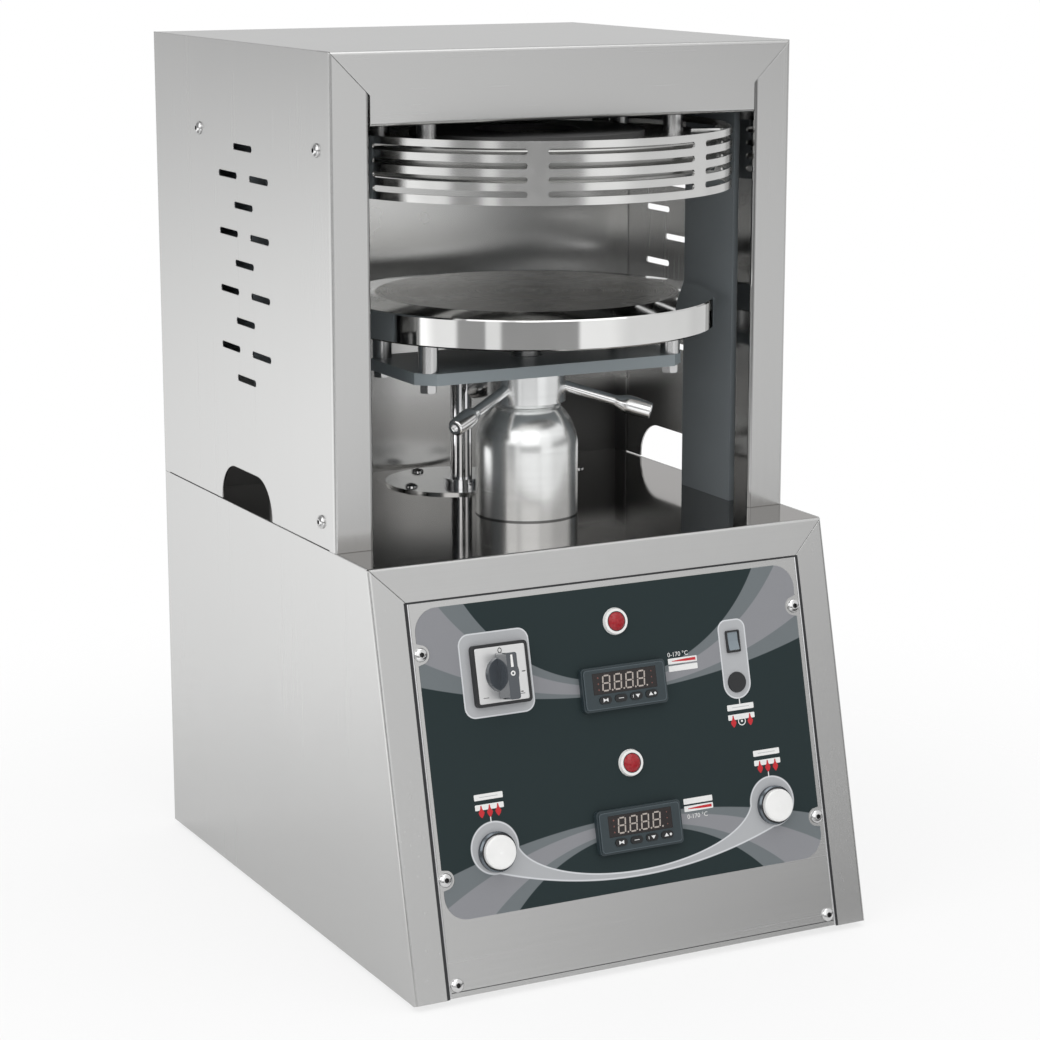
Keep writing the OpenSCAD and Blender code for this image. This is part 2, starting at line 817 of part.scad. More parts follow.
// Guard plate behind the vents of one side, from an upright back to the inner back wall
module vent_guard() {
    translate([upright_x + upright_t - sheet / 2, axis_y, vent_z - vent_edge])
        cube([1.5 * sheet, chamber_back - sheet, vent_top - vent_z + 2 * vent_edge]);
}

module left_upright() {
    color(paint) mirror([1, 0, 0]) {
        upright();
        vent_guard();
    }
}

module right_upright() {
    color(paint) upright();
}

// Bolt holes in one end of the crosshead or the bolster, whose middle height is given
module beam_bolt_holes(z) {
    start = upright_x + upright_t - frame_bolt_l - past;
    both_sides() for (j = [-1, 1]) translate([start, axis_y + j * frame_bolt_dy, z])
        rotate([0, 90, 0]) cylinder(r = frame_bolt_r + fit, h = frame_bolt_l + past);
}

module crosshead() {
    color(paint) difference() {
        translate([-beam_x, axis_y - beam_d / 2, crosshead_z]) cube([2 * beam_x, beam_d, crosshead_t]);
        beam_bolt_holes(crosshead_z + crosshead_t / 2);
    }
}

module bolster() {
    low = bolster_top - bolster_t;
    color(paint) difference() {
        translate([-beam_x, axis_y - beam_d / 2, low]) cube([2 * beam_x, beam_d, bolster_t]);
        translate([0, axis_y, low - past]) cylinder(r = ram_r + 1, h = bolster_t + 2 * past);
        beam_bolt_holes(low + bolster_t / 2);
    }
}

module frame_bolts() {
    color(steel) both_sides()
        for (j = [-1, 1], z = [bolster_top - bolster_t / 2, crosshead_z + crosshead_t / 2])
            translate([upright_x + upright_t, axis_y + j * frame_bolt_dy, z]) rotate([0, 90, 0])
                hex_bolt(frame_head_r, frame_head_h, frame_bolt_r, frame_bolt_l);
}

// Upper platen set

module upper_platen() {
    color(polished) translate([0, axis_y, upper_face]) rotate_extrude()
        polygon([[0, 0], [platen_r - 2, 0], [platen_r, 2], [platen_r, upper_t - 1],
                 [platen_r - 1, upper_t], [0, upper_t]]);
}

module upper_heater() {
    color(dark) translate([0, axis_y, upper_top]) tube(heater_r, heater_hole_r, heater_t);
}

module upper_spacers() {
    color(steel) at_spacers() translate([0, 0, upper_top])
        cylinder(r = spacer_r, h = crosshead_z - upper_top);
}

// One slot of the guard ring: an arc of the wall with round ends
module guard_slot(sweep) {
    end = asin(guard_slot_h / 2 / guard_r);
    rotate([0, 0, end]) rotate_extrude(angle = sweep - 2 * end)
        translate([guard_r - guard_t - past, -guard_slot_h / 2]) square([guard_t + 2 * past, guard_slot_h]);
    for (a = [end, sweep - end]) rotate([0, 0, a]) translate([guard_r - guard_t - past, 0, 0])
        rotate([0, 90, 0]) cylinder(r = guard_slot_h / 2, h = guard_t + 2 * past);
}

module guard_ring() {
    step = 360 / guard_columns;
    web = guard_web / guard_r * 180 / PI;
    tab_w = guard_web - 4;
    tab_in = platen_r - 16;
    color(polished) translate([0, axis_y, 0]) {
        difference() {
            translate([0, 0, guard_z]) tube(guard_r, guard_r - guard_t, guard_h);
            for (c = [0 : guard_columns - 1], row = [0 : guard_rows - 1])
                rotate([0, 0, guard_turn + c * step + web / 2])
                    translate([0, 0, guard_z + guard_low + row * guard_pitch]) guard_slot(step - web);
        }
        for (c = [0 : 2 : guard_columns - 1]) rotate([0, 0, guard_turn + c * step])
            translate([tab_in, -tab_w / 2, upper_top])
                cube([guard_r - guard_t / 2 - tab_in, tab_w, guard_t]);
    }
}

// Ram, bell housing and drive

module ram_housing() {
    bore = ram_r + run + bush_t;
    color(steel) translate([0, axis_y, deck_z]) difference() {
        rotate_extrude() {
            square([bell_r, bell_wall]);
            translate([0, bell_wall]) intersection() {
                translate([bell_r - bell_curve, 0]) circle(bell_curve, $fn = 128);
                square([bell_r, bell_h - bell_wall]);
            }
        }
        translate([0, 0, -past]) cylinder(r = bell_r - bell_wall_t, h = bell_wall - 4 + past);
        translate([0, 0, -past]) cylinder(r = bore, h = bell_h + 2 * past);
    }
}

module ram_bush() {
    outer = ram_r + run + bush_t - run / 2;
    color(bronze) translate([0, axis_y, bush_low]) tube(outer, ram_r + run, bell_top - bush_low - hub_gap);
}

module ram() {
    color(polished) translate([0, axis_y, 0]) difference() {
        union() {
            translate([0, 0, ram_low]) cylinder(r = ram_r, h = ram_l);
            translate([0, 0, ram_low]) cylinder(r = neck_r, h = ram_top - ram_low);
        }
        translate([0, 0, ram_low - past]) cylinder(r = screw_r + run, h = nut_h + 2 * past);
        translate([0, 0, ram_low + nut_h]) cylinder(r = screw_bore_r, h = screw_reach + screw_bore_end);
    }
}

module lead_screw() {
    tail_z = gearbox_top - screw_tail;
    color(steel) translate([0, axis_y, 0]) {
        translate([0, 0, tail_z]) cylinder(r = screw_r, h = screw_top - tail_z);
        translate([0, 0, gearbox_top + fit]) cylinder(r = screw_collar_r, h = screw_collar_h);
    }
}

// Gearbox on the base floor with the motor on its right; the lead screw turns in its top
module gearmotor() {
    low = floor_z + sheet;
    foot_w = gearbox_w + 2 * gearbox_foot;
    color(paint) difference() {
        union() {
            translate([-gearbox_w / 2, axis_y - gearbox_d / 2, low])
                cube([gearbox_w, gearbox_d, gearbox_h - 12]);
            translate([0, axis_y, low]) cylinder(r = gearbox_d / 2 - 14, h = gearbox_h);
            translate([-foot_w / 2, axis_y - gearbox_d / 2, low]) cube([foot_w, gearbox_d, 10]);
            translate([gearbox_w / 2 - past, axis_y, motor_z]) rotate([0, 90, 0]) motor_body();
        }
        translate([0, axis_y, gearbox_top - screw_tail - past])
            cylinder(r = screw_r + run, h = screw_tail + 2 * past);
    }
}

// Motor along +Z from its flange: finned body and fan cover
module motor_body() {
    fins = 16;
    cylinder(r = motor_r + 4, h = 10 + past);
    cylinder(r = motor_r, h = motor_l - 20);
    for (k = [0 : fins - 1]) rotate([0, 0, k * 360 / fins])
        translate([motor_r - 1, -1, 16]) cube([5, 2, motor_l - 48]);
    translate([0, 0, motor_l - 20]) cylinder(r1 = motor_r + 3, r2 = motor_r, h = 30);
}

// Rising platen set

module carrier_plate() {
    c = carrier_chamfer;
    color(paint) difference() {
        translate([0, axis_y, carrier_z]) linear_extrude(carrier_t) {
            polygon([[-carrier_x + c, -carrier_y], [carrier_x - c, -carrier_y], [carrier_x, -carrier_y + c],
                     [carrier_x, carrier_y - c], [carrier_x - c, carrier_y], [-carrier_x + c, carrier_y],
                     [-carrier_x, carrier_y - c], [-carrier_x, -carrier_y + c]]);
            translate([-tongue_r, 0]) square([2 * tongue_r, rod_back]);
            translate([0, rod_back]) circle(tongue_r);
        }
        translate([0, axis_y, carrier_z - past]) cylinder(r = hub_spigot_r + run, h = carrier_t + 2 * past);
        translate([0, rod_y, carrier_z - past]) cylinder(r = rod_neck_r + run, h = carrier_t + 2 * past);
        at_spacers() translate([0, 0, carrier_z - past])
            cylinder(r = carrier_bolt_r + fit, h = carrier_t + 2 * past);
    }
}

module lower_spacers() {
    color(steel) {
        at_spacers() translate([0, 0, spacer_z]) cylinder(r = spacer_r, h = spacer_h);
        translate([0, axis_y, spacer_z]) cylinder(r = boss_r, h = spacer_h);
        translate([0, axis_y, platen_z - boss_flange_h]) cylinder(r = boss_flange_r, h = boss_flange_h);
    }
}

module lower_platen() {
    edge = 1.2;
    color(polished) translate([0, axis_y, platen_z]) rotate_extrude()
        polygon([[0, 0], [platen_r - edge, 0], [platen_r, edge], [platen_r, rim_h - edge],
                 [platen_r - edge, rim_h], [platen_r - bevel_w, rim_h + bevel_drop],
                 [0, rim_h + bevel_drop]]);
}

module lower_heater() {
    color(dark) translate([0, axis_y, platen_z - heater_t]) tube(heater_r, heater_hole_r, heater_t);
}

module carrier_bolts() {
    color(steel) {
        at_spacers() translate([0, 0, carrier_z]) mirror([0, 0, 1])
            hex_bolt(carrier_head_r, carrier_head_h, carrier_bolt_r, carrier_t);
        translate([0, rod_y, spacer_z]) difference() {
            cylinder(r = rod_nut_r, h = rod_nut_h, $fn = 6);
            translate([0, 0, -past]) cylinder(r = rod_neck_r + run, h = rod_nut_h + 2 * past);
        }
    }
}

module guide_rod() {
    color(polished) translate([0, rod_y, 0]) {
        translate([0, 0, rod_low]) cylinder(r = rod_r, h = rod_l);
        translate([0, 0, carrier_z]) cylinder(r = rod_neck_r, h = carrier_t + rod_nut_h + 1);
    }
}

module guide_bush() {
    top = deck_z + cover_t;
    color(polished) translate([0, rod_y, 0]) difference() {
        union() {
            translate([0, 0, top]) cylinder(r = guide_flange_r, h = guide_flange_h);
            translate([0, 0, top - guide_bush_l]) cylinder(r = rod_r + bush_wall, h = guide_bush_l);
        }
        translate([0, 0, top - guide_bush_l - past])
            cylinder(r = rod_r + run, h = guide_bush_l + guide_flange_h + 2 * past);
        translate([0, 0, top + (guide_flange_h - guide_groove) / 2])
            tube(guide_flange_r + past, guide_flange_r - guide_groove, guide_groove);
    }
}

module deck_cover() {
    color(polished) difference() {
        translate([0, cover_y, deck_z]) cylinder(r = cover_r, h = cover_t);
        translate([0, rod_y, deck_z - past]) cylinder(r = rod_r + bush_wall + fit, h = cover_t + 2 * past);
        for (a = [0 : 90 : 270]) translate([0, cover_y, 0]) rotate([0, 0, cover_turn + a])
            translate([cover_screw_r, 0, deck_z - past]) cylinder(r = screw_hole_r, h = cover_t + 2 * past);
    }
}

// Thickness hub and its handles

// Puts children on a handle's axis: +Z out along the handle, from the hub wall
module at_handles() {
    for (k = [0 : 2]) translate([0, axis_y, handle_z]) rotate([0, 0, handle_turn + 120 * k])
        translate([hub_r, 0, 0]) rotate([0, 90 + handle_slope, 0]) children();
}

module thickness_hub() {
    edge = 1;
    tall = carrier_z - hub_low;
    color(steel) difference() {
        translate([0, axis_y, 0]) {
            translate([0, 0, hub_low]) rotate_extrude()
                polygon([[0, 0], [hub_r - hub_chamfer, 0], [hub_r, hub_chamfer], [hub_r, tall - edge],
                         [hub_r - edge, tall], [0, tall]]);
            translate([0, 0, carrier_z]) cylinder(r = hub_spigot_r, h = carrier_t - 1);
        }
        translate([0, axis_y, hub_low - past]) cylinder(r = neck_r + run, h = ram_top + 1 - hub_low + past);
        at_handles() translate([0, 0, -handle_root]) cylinder(r = handle_r + run, h = handle_root + 4);
    }
}

module hub_handles() {
    rod_end = handle_l - grip_l;
    swell = [for (k = [0 : 10]) [grip_radius(k / 10), grip_l * k / 10]];
    grip_outline = concat([[0, 0]], swell, [[0, grip_l]]);
    color(steel) at_handles() {
        translate([0, 0, -handle_root]) cylinder(r = handle_r, h = handle_root + rod_end + grip_l / 3);
        translate([0, 0, rod_end]) rotate_extrude() polygon(grip_outline);
    }
}

// Radius of the grip along its length, from the rod's own radius through the swell to the tip
function grip_radius(t) = handle_r + (grip_r - handle_r) * pow(sin(180 * pow(t, 0.85) * 0.82), 1.3);

// Control panel

// Openings of the control panel, as outlines on its plane
module panel_openings() {
    translate([switch_x, -switch_s]) circle(switch_neck_r + fit);
    for (s = [upper_s, lower_s]) translate([controller_x, -s]) {
        square([controller_body_w + 2 * fit, controller_body_h + 2 * fit], center = true);
        translate([0, pilot_up]) circle(pilot_barrel_r + fit);
    }
    for (x = [left_button_x, right_button_x]) translate([x, -button_s]) circle(button_barrel_r + fit);
    translate([rocker_x, -rocker_s])
        square([rocker_body_w + 2 * fit, rocker_body_h + 2 * fit], center = true);
    translate([rocker_x, -fuse_s]) circle(fuse_barrel_r + fit);
    for (i = [-1, 1], s = panel_screw_s) translate([i * panel_screw_x, -s]) circle(screw_hole_r);
}

module control_panel() {
    top = border + mitre_gap + panel_gap;
    low = slope_l - 2;
    half = panel_x - mitre_gap - panel_gap;
    color(stainless) on_front() {
        translate([0, 0, -sheet]) linear_extrude(sheet) difference() {
            translate([-half, -low]) square([2 * half, low - top]);
            panel_openings();
        }
        translate([-half + backing_w, -low, -4 * sheet]) cube([2 * (half - backing_w), sheet, 4 * sheet]);
    }
}

module controller(s) {
    color(bezel_grey) at_panel(controller_x, s) difference() {
        union() {
            linear_extrude(bezel_front - 1) round_rect(bezel_w, bezel_h, bezel_r);
            linear_extrude(bezel_front) round_rect(bezel_w - 3, bezel_h - 3, bezel_r - 1);
            translate([-controller_body_w / 2, -controller_body_h / 2, -controller_body_d])
                cube([controller_body_w, controller_body_h, controller_body_d + past]);
        }
        translate([-lens_w / 2 - key_gap, lens_dy - lens_h / 2 - key_gap, bezel_front - lens_t])
            cube([lens_w + 2 * key_gap, lens_h + 2 * key_gap, lens_t + past]);
        for (k = [0 : 3]) translate([key_x(k), key_dy, bezel_front - key_pocket])
            linear_extrude(key_pocket + past) slot(key_w + 2 * key_gap, key_h + 2 * key_gap);
    }
}

// Sideways place of a key on its controller
function key_x(k) = key_shift + (k - 1.5) * key_pitch;

module upper_controller() {
    controller(upper_s);
}

module lower_controller() {
    controller(lower_s);
}

module controller_lenses() {
    color([0.16, 0.07, 0.07]) for (s = [upper_s, lower_s]) at_panel(controller_x, s)
        translate([-lens_w / 2, lens_dy - lens_h / 2, bezel_front - lens_t]) cube([lens_w, lens_h, lens_t]);
}

// One key of a controller: a pill with a stem in its pocket
module controller_key(s, k) {
    color([0.10, 0.11, 0.12]) at_panel(controller_x + key_x(k), s)
        translate([0, key_dy, bezel_front - key_stem])
            linear_extrude(key_stem + key_proud) slot(key_w, key_h);
}

module pilot_bezels() {
    color("white") for (s = [upper_s, lower_s]) at_panel(controller_x, s - pilot_up) difference() {
        union() {
            cylinder(r1 = pilot_r, r2 = pilot_r - 1, h = pilot_ring_h);
            translate([0, 0, -pilot_barrel_l]) cylinder(r = pilot_barrel_r, h = pilot_barrel_l + past);
        }
        translate([0, 0, 1]) cylinder(r = pilot_lens_r + fit, h = pilot_ring_h);
    }
}

module pilot_lenses() {
    ball = (pilot_lens_r * pilot_lens_r + pilot_dome * pilot_dome) / (2 * pilot_dome);
    color([0.75, 0.06, 0.05]) for (s = [upper_s, lower_s]) at_panel(controller_x, s - pilot_up)
        translate([0, 0, 1]) rotate_extrude() {
            square([pilot_lens_r, pilot_ring_h - 1]);
            translate([0, pilot_ring_h - 1]) intersection() {
                translate([0, pilot_dome - ball]) circle(ball);
                square([pilot_lens_r, pilot_dome]);
            }
        }
}

module switch_frame() {
    inner = switch_w - 2 * switch_rim;
    color(dark) at_panel(switch_x, switch_s) difference() {
        union() {
            linear_extrude(switch_front) round_rect(switch_w, switch_w, 3.5);
            translate([0, 0, -sheet - past]) cylinder(r = switch_neck_r, h = sheet + 2 * past);
            translate([-switch_body_w / 2, -switch_body_w / 2, -sheet - switch_body_d])
                cube([switch_body_w, switch_body_w, switch_body_d]);
        }
        translate([0, 0, switch_front - switch_recess]) linear_extrude(switch_recess + past)
            round_rect(inner + 2 * fit, inner + 2 * fit, 1.5 + fit);
        translate([0, 0, switch_front - switch_recess - lever_shaft_l - past])
            cylinder(r = lever_shaft_r + run, h = lever_shaft_l + 2 * past);
    }
}

module switch_plate() {
    inner = switch_w - 2 * switch_rim;
    color(stainless) at_panel(switch_x, switch_s) translate([0, 0, switch_front - switch_recess])
        linear_extrude(switch_recess) difference() {
            round_rect(inner, inner, 1.5);
            circle(lever_shaft_r + 2 * fit);
        }
}

module switch_lever() {
    base = switch_front + seam;
    color(dark) at_panel(switch_x, switch_s) {
        translate([0, 0, base]) cylinder(r1 = lever_skirt_r, r2 = lever_skirt_r - 1, h = lever_skirt_h);
        translate([0, 0, base]) linear_extrude(lever_h) translate([0, -lever_drop / 2])
            round_rect(lever_w, lever_l, 2);
        translate([0, 0, switch_front - lever_shaft_l]) cylinder(r = lever_shaft_r, h = lever_shaft_l + 1);
    }
}

module rocker_bezel() {
    inner_w = rocker_w - 2 * rocker_rim;
    inner_h = rocker_h - 2 * rocker_rim;
    color(dark) at_panel(rocker_x, rocker_s) difference() {
        union() {
            linear_extrude(rocker_front) round_rect(rocker_w, rocker_h, 1);
            translate([-rocker_body_w / 2, -rocker_body_h / 2, -rocker_body_d])
                cube([rocker_body_w, rocker_body_h, rocker_body_d + past]);
        }
        translate([-inner_w / 2, -inner_h / 2, rocker_pivot - 4.5]) cube([inner_w, inner_h, 10]);
    }
}

module rocker_paddle() {
    half = rocker_h / 2 - rocker_rim - rocker_gap;
    wide = rocker_w - 2 * rocker_rim - 2 * rocker_gap;
    color([0.55, 0.60, 0.64]) at_panel(rocker_x, rocker_s) translate([-wide / 2, 0, rocker_pivot])
        rotate([-rocker_tilt, 0, 0]) along_x(wide)
            polygon([[-half, 0], [-half * 0.6, -2], [half * 0.6, -2], [half, 0],
                     [half, 2.6], [0, 1.9], [-half, 2.6]]);
}

module fuse_cap() {
    color(dark) at_panel(rocker_x, fuse_s) {
        cylinder(r1 = fuse_r, r2 = fuse_r - 0.6, h = fuse_front);
        translate([0, 0, -fuse_barrel_l]) cylinder(r = fuse_barrel_r, h = fuse_barrel_l + past);
    }
}

module button_bezels() {
    color(steel) for (x = [left_button_x, right_button_x]) at_panel(x, button_s) difference() {
        union() {
            cylinder(r = button_ring_r, h = button_ring_h - 1.4);
            translate([0, 0, button_ring_h - 1.4])
                cylinder(r1 = button_ring_r, r2 = button_ring_r - 1.4, h = 1.4);
            translate([0, 0, -button_barrel_l]) cylinder(r = button_barrel_r, h = button_barrel_l + past);
        }
        translate([0, 0, button_floor]) cylinder(r = button_cap_r + seam, h = button_ring_h);
        translate([0, 0, -button_stem_l - button_travel - past])
            cylinder(r = button_stem_r + run, h = button_stem_l + button_travel + 2 * past + button_floor);
    }
}

module push_button(x) {
    low = button_floor + button_travel + seam;
    color("white") at_panel(x, button_s) {
        translate([0, 0, low]) rotate_extrude()
            polygon([[0, 0], [button_cap_r, 0], [button_cap_r, button_cap_h - 1.2],
                     [button_cap_r - 0.4, button_cap_h - 0.5], [button_cap_r - 1.2, button_cap_h],
                     [0, button_cap_h + 0.6]]);
        translate([0, 0, low - button_stem_l]) cylinder(r = button_stem_r, h = button_stem_l + 1);
    }
}

module left_button() {
    push_button(left_button_x);
}

module right_button() {
    push_button(right_button_x);
}

base_left_side();
base_right_side();
base_deck();
base_rear_panel();
base_floor();
feet();
control_panel();
hood_left_side();
hood_right_side();
hood_top();
hood_back();
chamber_back_wall();
housing_screws();
left_upright();
right_upright();
crosshead();
bolster();
frame_bolts();
upper_platen();
upper_heater();
upper_spacers();
guard_ring();
ram_housing();
ram_bush();
guide_bush();
deck_cover();
gearmotor();
cable_gland();
upper_controller();
lower_controller();
controller_lenses();
pilot_bezels();
pilot_lenses();
switch_frame();
switch_plate();
rocker_bezel();
fuse_cap();
button_bezels();
ram();
carrier_plate();
lower_spacers();
lower_platen();
lower_heater();
carrier_bolts();
guide_rod();
thickness_hub();
hub_handles();
lead_screw();
switch_lever();
rocker_paddle();
left_button();
right_button();
controller_key(upper_s, 0);  // upper_key_1
controller_key(upper_s, 1);  // upper_key_2
controller_key(upper_s, 2);  // upper_key_3
controller_key(upper_s, 3);  // upper_key_4
controller_key(lower_s, 0);  // lower_key_1
controller_key(lower_s, 1);  // lower_key_2
controller_key(lower_s, 2);  // lower_key_3
controller_key(lower_s, 3);  // lower_key_4
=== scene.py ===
"""Looks of the pizza dough press: finishes, the printed film and its marks, turned pieces and the stage."""

import math

import bmesh
import bpy
import numpy as np
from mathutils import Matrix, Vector


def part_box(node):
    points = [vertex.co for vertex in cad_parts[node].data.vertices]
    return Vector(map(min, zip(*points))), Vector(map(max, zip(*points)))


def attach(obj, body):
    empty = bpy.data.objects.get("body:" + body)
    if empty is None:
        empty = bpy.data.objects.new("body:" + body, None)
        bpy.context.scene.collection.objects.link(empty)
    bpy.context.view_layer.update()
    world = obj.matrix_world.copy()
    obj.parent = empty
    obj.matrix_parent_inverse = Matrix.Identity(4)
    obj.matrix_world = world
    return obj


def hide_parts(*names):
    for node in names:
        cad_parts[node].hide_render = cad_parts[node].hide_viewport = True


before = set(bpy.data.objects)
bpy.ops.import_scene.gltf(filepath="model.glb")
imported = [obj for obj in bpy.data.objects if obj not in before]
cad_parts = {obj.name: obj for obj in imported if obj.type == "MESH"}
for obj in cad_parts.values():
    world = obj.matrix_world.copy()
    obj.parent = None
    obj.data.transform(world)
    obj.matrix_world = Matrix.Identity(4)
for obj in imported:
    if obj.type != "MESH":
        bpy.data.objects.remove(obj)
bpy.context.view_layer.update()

bl_info = {
    "name": "Dough press looks",
    "version": (1, 0, 0),
    "blender": (4, 5, 0),
    "location": "3D View > Sidebar > Dough press",
    "description": "Finishes, printed film, turned pieces and studio of a pizza dough press",
    "category": "Object",
}

MM = 0.001

# The sloping front in millimetres: a point of its top edge, its slope, and its ways across, up and out
FRONT_EDGE = np.array([0.0, -186.0, 345.0])
FRONT_RUN, FRONT_RISE = 84.0, 341.0
LEAN = math.atan2(FRONT_RUN, FRONT_RISE)
ACROSS = np.array([1.0, 0.0, 0.0])
UP = np.array([0.0, math.sin(LEAN), math.cos(LEAN)])
OUT = np.array([0.0, -math.cos(LEAN), math.sin(LEAN)])

# On the front in millimetres: across from its middle, and down from its top edge
PILOTS = ((2.5, 65.8), (2.5, 184.0))
FILM_SIDE, FILM_TOP, FILM_LOW, FILM_CORNER = 179.5, 36.0, 288.5, 20.0
SCREW_SIDE, SCREW_ROWS = 177.0, (72.5, 254.5, 339.2)

# How far the dark strips of painted shade in the panel's gaps, the film and each coat of ink on it lie over
# the front, in millimetres
SHADE_STRIP_FACE, FILM_FACE = 0.14, 0.22
EDGE_COAT, BAR_COAT, SURROUND_COAT, LETTER_COAT, LINE_COAT, DROP_COAT = 0.26, 0.28, 0.29, 0.30, 0.31, 0.34

# The camera's place in metres, how far it is turned and looks down in degrees, and its sensor in millimetres
CAMERA_PLACE, CAMERA_TURN, CAMERA_DROP, SENSOR_WIDTH = (-1.123, -2.202, 0.869), 27.40, 12.34, 36.0


def highest_corner(node):
    """Highest corner of a CAD node's box in millimetres."""
    return np.array(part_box(node)[1]) / MM


def middle_of(node):
    """Middle of a CAD node's box in millimetres."""
    return np.mean(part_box(node), axis=0) / MM


def front_place(node):
    """A CAD node's middle across the front and down it, and how far its face stands out, in millimetres."""
    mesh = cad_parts[node].data
    points = np.empty(3 * len(mesh.vertices))
    mesh.vertices.foreach_get("co", points)
    off = points.reshape(-1, 3) / MM - FRONT_EDGE
    across, down, out = off @ ACROSS, -off @ UP, off @ OUT
    return (across.min() + across.max()) / 2, (down.min() + down.max()) / 2, out.max()


# The upright axis of the press and the top of the deck, in millimetres
PRESS_Y = middle_of("lower_platen")[1]
DECK_TOP = highest_corner("base_deck")[2]


def colour_of(label, words, value):
    """A colour that the panel shows."""
    return bpy.props.FloatVectorProperty(
        name=label, description=words, subtype="COLOR", default=value, min=0, max=1)


def power_of(label, words, watts):
    """A lamp's power that the panel shows."""
    return bpy.props.FloatProperty(name=label, description=words, subtype="POWER", default=watts)


class PressFinish(bpy.types.PropertyGroup):
    """Colours and gloss of the press"""

    stainless: colour_of("Stainless", "Colour of the brushed cabinet sheet", (0.56, 0.56, 0.555))
    # The deck's colour is painted shade: the mirror under the hood is darkened for the dark it reflects there
    deck: colour_of("Deck", "Colour of the dark mirror of the deck", (0.29, 0.275, 0.26))
    bright: colour_of("Bright sheet", "Colour of the deck cover and the inner back wall", (0.76, 0.76, 0.75))
    paint: colour_of("Frame paint", "Colour of the uprights, crosshead and motor", (0.27, 0.30, 0.32))
    film: colour_of("Film ground", "Colour of the printed film's dark ground", (0.022, 0.034, 0.036))
    film_strip: colour_of("Film strips", "Colour of the edges of the film's bands", (0.165, 0.185, 0.195))
    film_band: colour_of("Film bands", "Colour of the middle of the film's bands", (0.266, 0.270, 0.287))
    film_link: colour_of("Film link", "Colour of the light surrounds on the film", (0.44, 0.45, 0.465))
    sheet_roughness: bpy.props.FloatProperty(
        name="Sheet roughness", description="Roughness of the brushed cabinet sheet", subtype="FACTOR",
        default=0.25, min=0, max=1)


class PressStage(bpy.types.PropertyGroup):
    """Studio round the press"""

    floor: colour_of("Floor", "Colour of the floor", (0.86, 0.86, 0.86))
    key_power: power_of("Key light", "Power of the large lamp on the left, in watts", 18.0)
    top_power: power_of("Top light", "Power of the lamp overhead, in watts", 14.0)
    front_power: power_of("Front light", "Power of the lamp in front, in watts", 6.0)
    lens: bpy.props.FloatProperty(
        name="Lens", description="Focal length of the camera", subtype="DISTANCE_CAMERA", default=98.6)


# Node trees


def set_socket(node, name, value):
    """Puts a number, a colour or a linked Value into a node's socket."""
    if isinstance(value, Value):
        value.tree.links.new(value.socket, node.inputs[name])
    else:
        node.inputs[name].default_value = value


class Value:
    """One socket of a node tree. Arithmetic on it adds Math nodes, and add() adds any other node."""

    def __init__(self, tree, socket=None):
        self.tree = tree
        self.socket = socket

    def add(self, kind, settings=None, inputs=None, output=0):
        """Adds a node: settings are set first; inputs, by name or number, are numbers, tuples or Values."""
        node = self.tree.nodes.new(kind)
        for name, value in (settings or {}).items():
            setattr(node, name, value)
        for name, value in (inputs or {}).items():
            set_socket(node, name, value)
        return Value(self.tree, node.outputs[output])

    def maths(self, operation, first, second=0.0):
        return self.add("ShaderNodeMath", {"operation": operation}, {0: first, 1: second})

    def __add__(self, other):
        return self.maths("ADD", self, other)

    def __sub__(self, other):
        return self.maths("SUBTRACT", self, other)

    def __rsub__(self, other):
        return self.maths("SUBTRACT", other, self)

    def __mul__(self, other):
        return self.maths("MULTIPLY", self, other)

    def __pow__(self, other):
        return self.maths("POWER", self, other)

    __radd__ = __add__
    __rmul__ = __mul__

    def highest(self, other):
        return self.maths("MAXIMUM", self, other)

    def size(self):
        """This number without its sign."""
        return self.maths("ABSOLUTE", self)

    def length(self):
        """How long this vector is."""
        return self.add("ShaderNodeVectorMath", {"operation": "LENGTH"}, {0: self}, "Value")

    def part(self, axis):
        """One coordinate of this vector, by its letter."""
        return self.add("ShaderNodeSeparateXYZ", {}, {0: self}, axis)

    def step(self, start, end):
        """0 before start, 1 after end, and a smooth rise between them."""
        return self.add("ShaderNodeMapRange", {"interpolation_type": "SMOOTHSTEP"},
                        {"Value": self, "From Min": start, "From Max": end})

    def between(self, low, high):
        """This 0 to 1 value moved into a range."""
        return self * (high - low) + low

    def tint(self, colour):
        """A colour made lighter or darker by this value."""
        return self.add("ShaderNodeVectorMath", {"operation": "SCALE"}, {0: colour, "Scale": self})

    def mix(self, first, second):
        """Colour first where this value is 0 and second where it is 1."""
        first, second = (shade if isinstance(shade, Value) else (*shade, 1.0) for shade in (first, second))
        return self.add("ShaderNodeMix", {"data_type": "RGBA"}, {0: self, 6: first, 7: second}, 2)

    def mix_shader(self, first, second):
        """Shader first where this value is 0 and second where it is 1."""
        return self.add("ShaderNodeMixShader", {}, {0: self, 1: first, 2: second})


def new_finish(name):
    """An empty material: its tree as a Value, and its Principled shader."""
    material = bpy.data.materials.new(name)
    material.use_nodes = True
    tree = material.node_tree
    tree.nodes.clear()
    shader = tree.nodes.new("ShaderNodeBsdfPrincipled")
    output = tree.nodes.new("ShaderNodeOutputMaterial")
    tree.links.new(shader.outputs[0], output.inputs[0])
    return material, Value(tree), shader


def dress(shader, colour, roughness, **others):
    """Fills a shader's sockets. A name of several words is written with underscores."""
    set_socket(shader, "Base Color", colour)
    set_socket(shader, "Roughness", roughness)
    for name, value in others.items():
        set_socket(shader, name.replace("_", " "), value)


def place(tree, scale=(1.0, 1.0, 1.0), shift=(0.0, 0.0, 0.0)):
    """Object coordinates in metres, stretched and then shifted by a Mapping node."""
    where = tree.add("ShaderNodeTexCoord", output="Object")
    return tree.add("ShaderNodeMapping", {}, {"Vector": where, "Location": shift, "Scale": scale})


def from_axis(tree):
    """Distance from the upright axis of the press, in metres."""
    return place(tree, (1.0, 1.0, 0.0), (0.0, -PRESS_Y * MM, 0.0)).length()


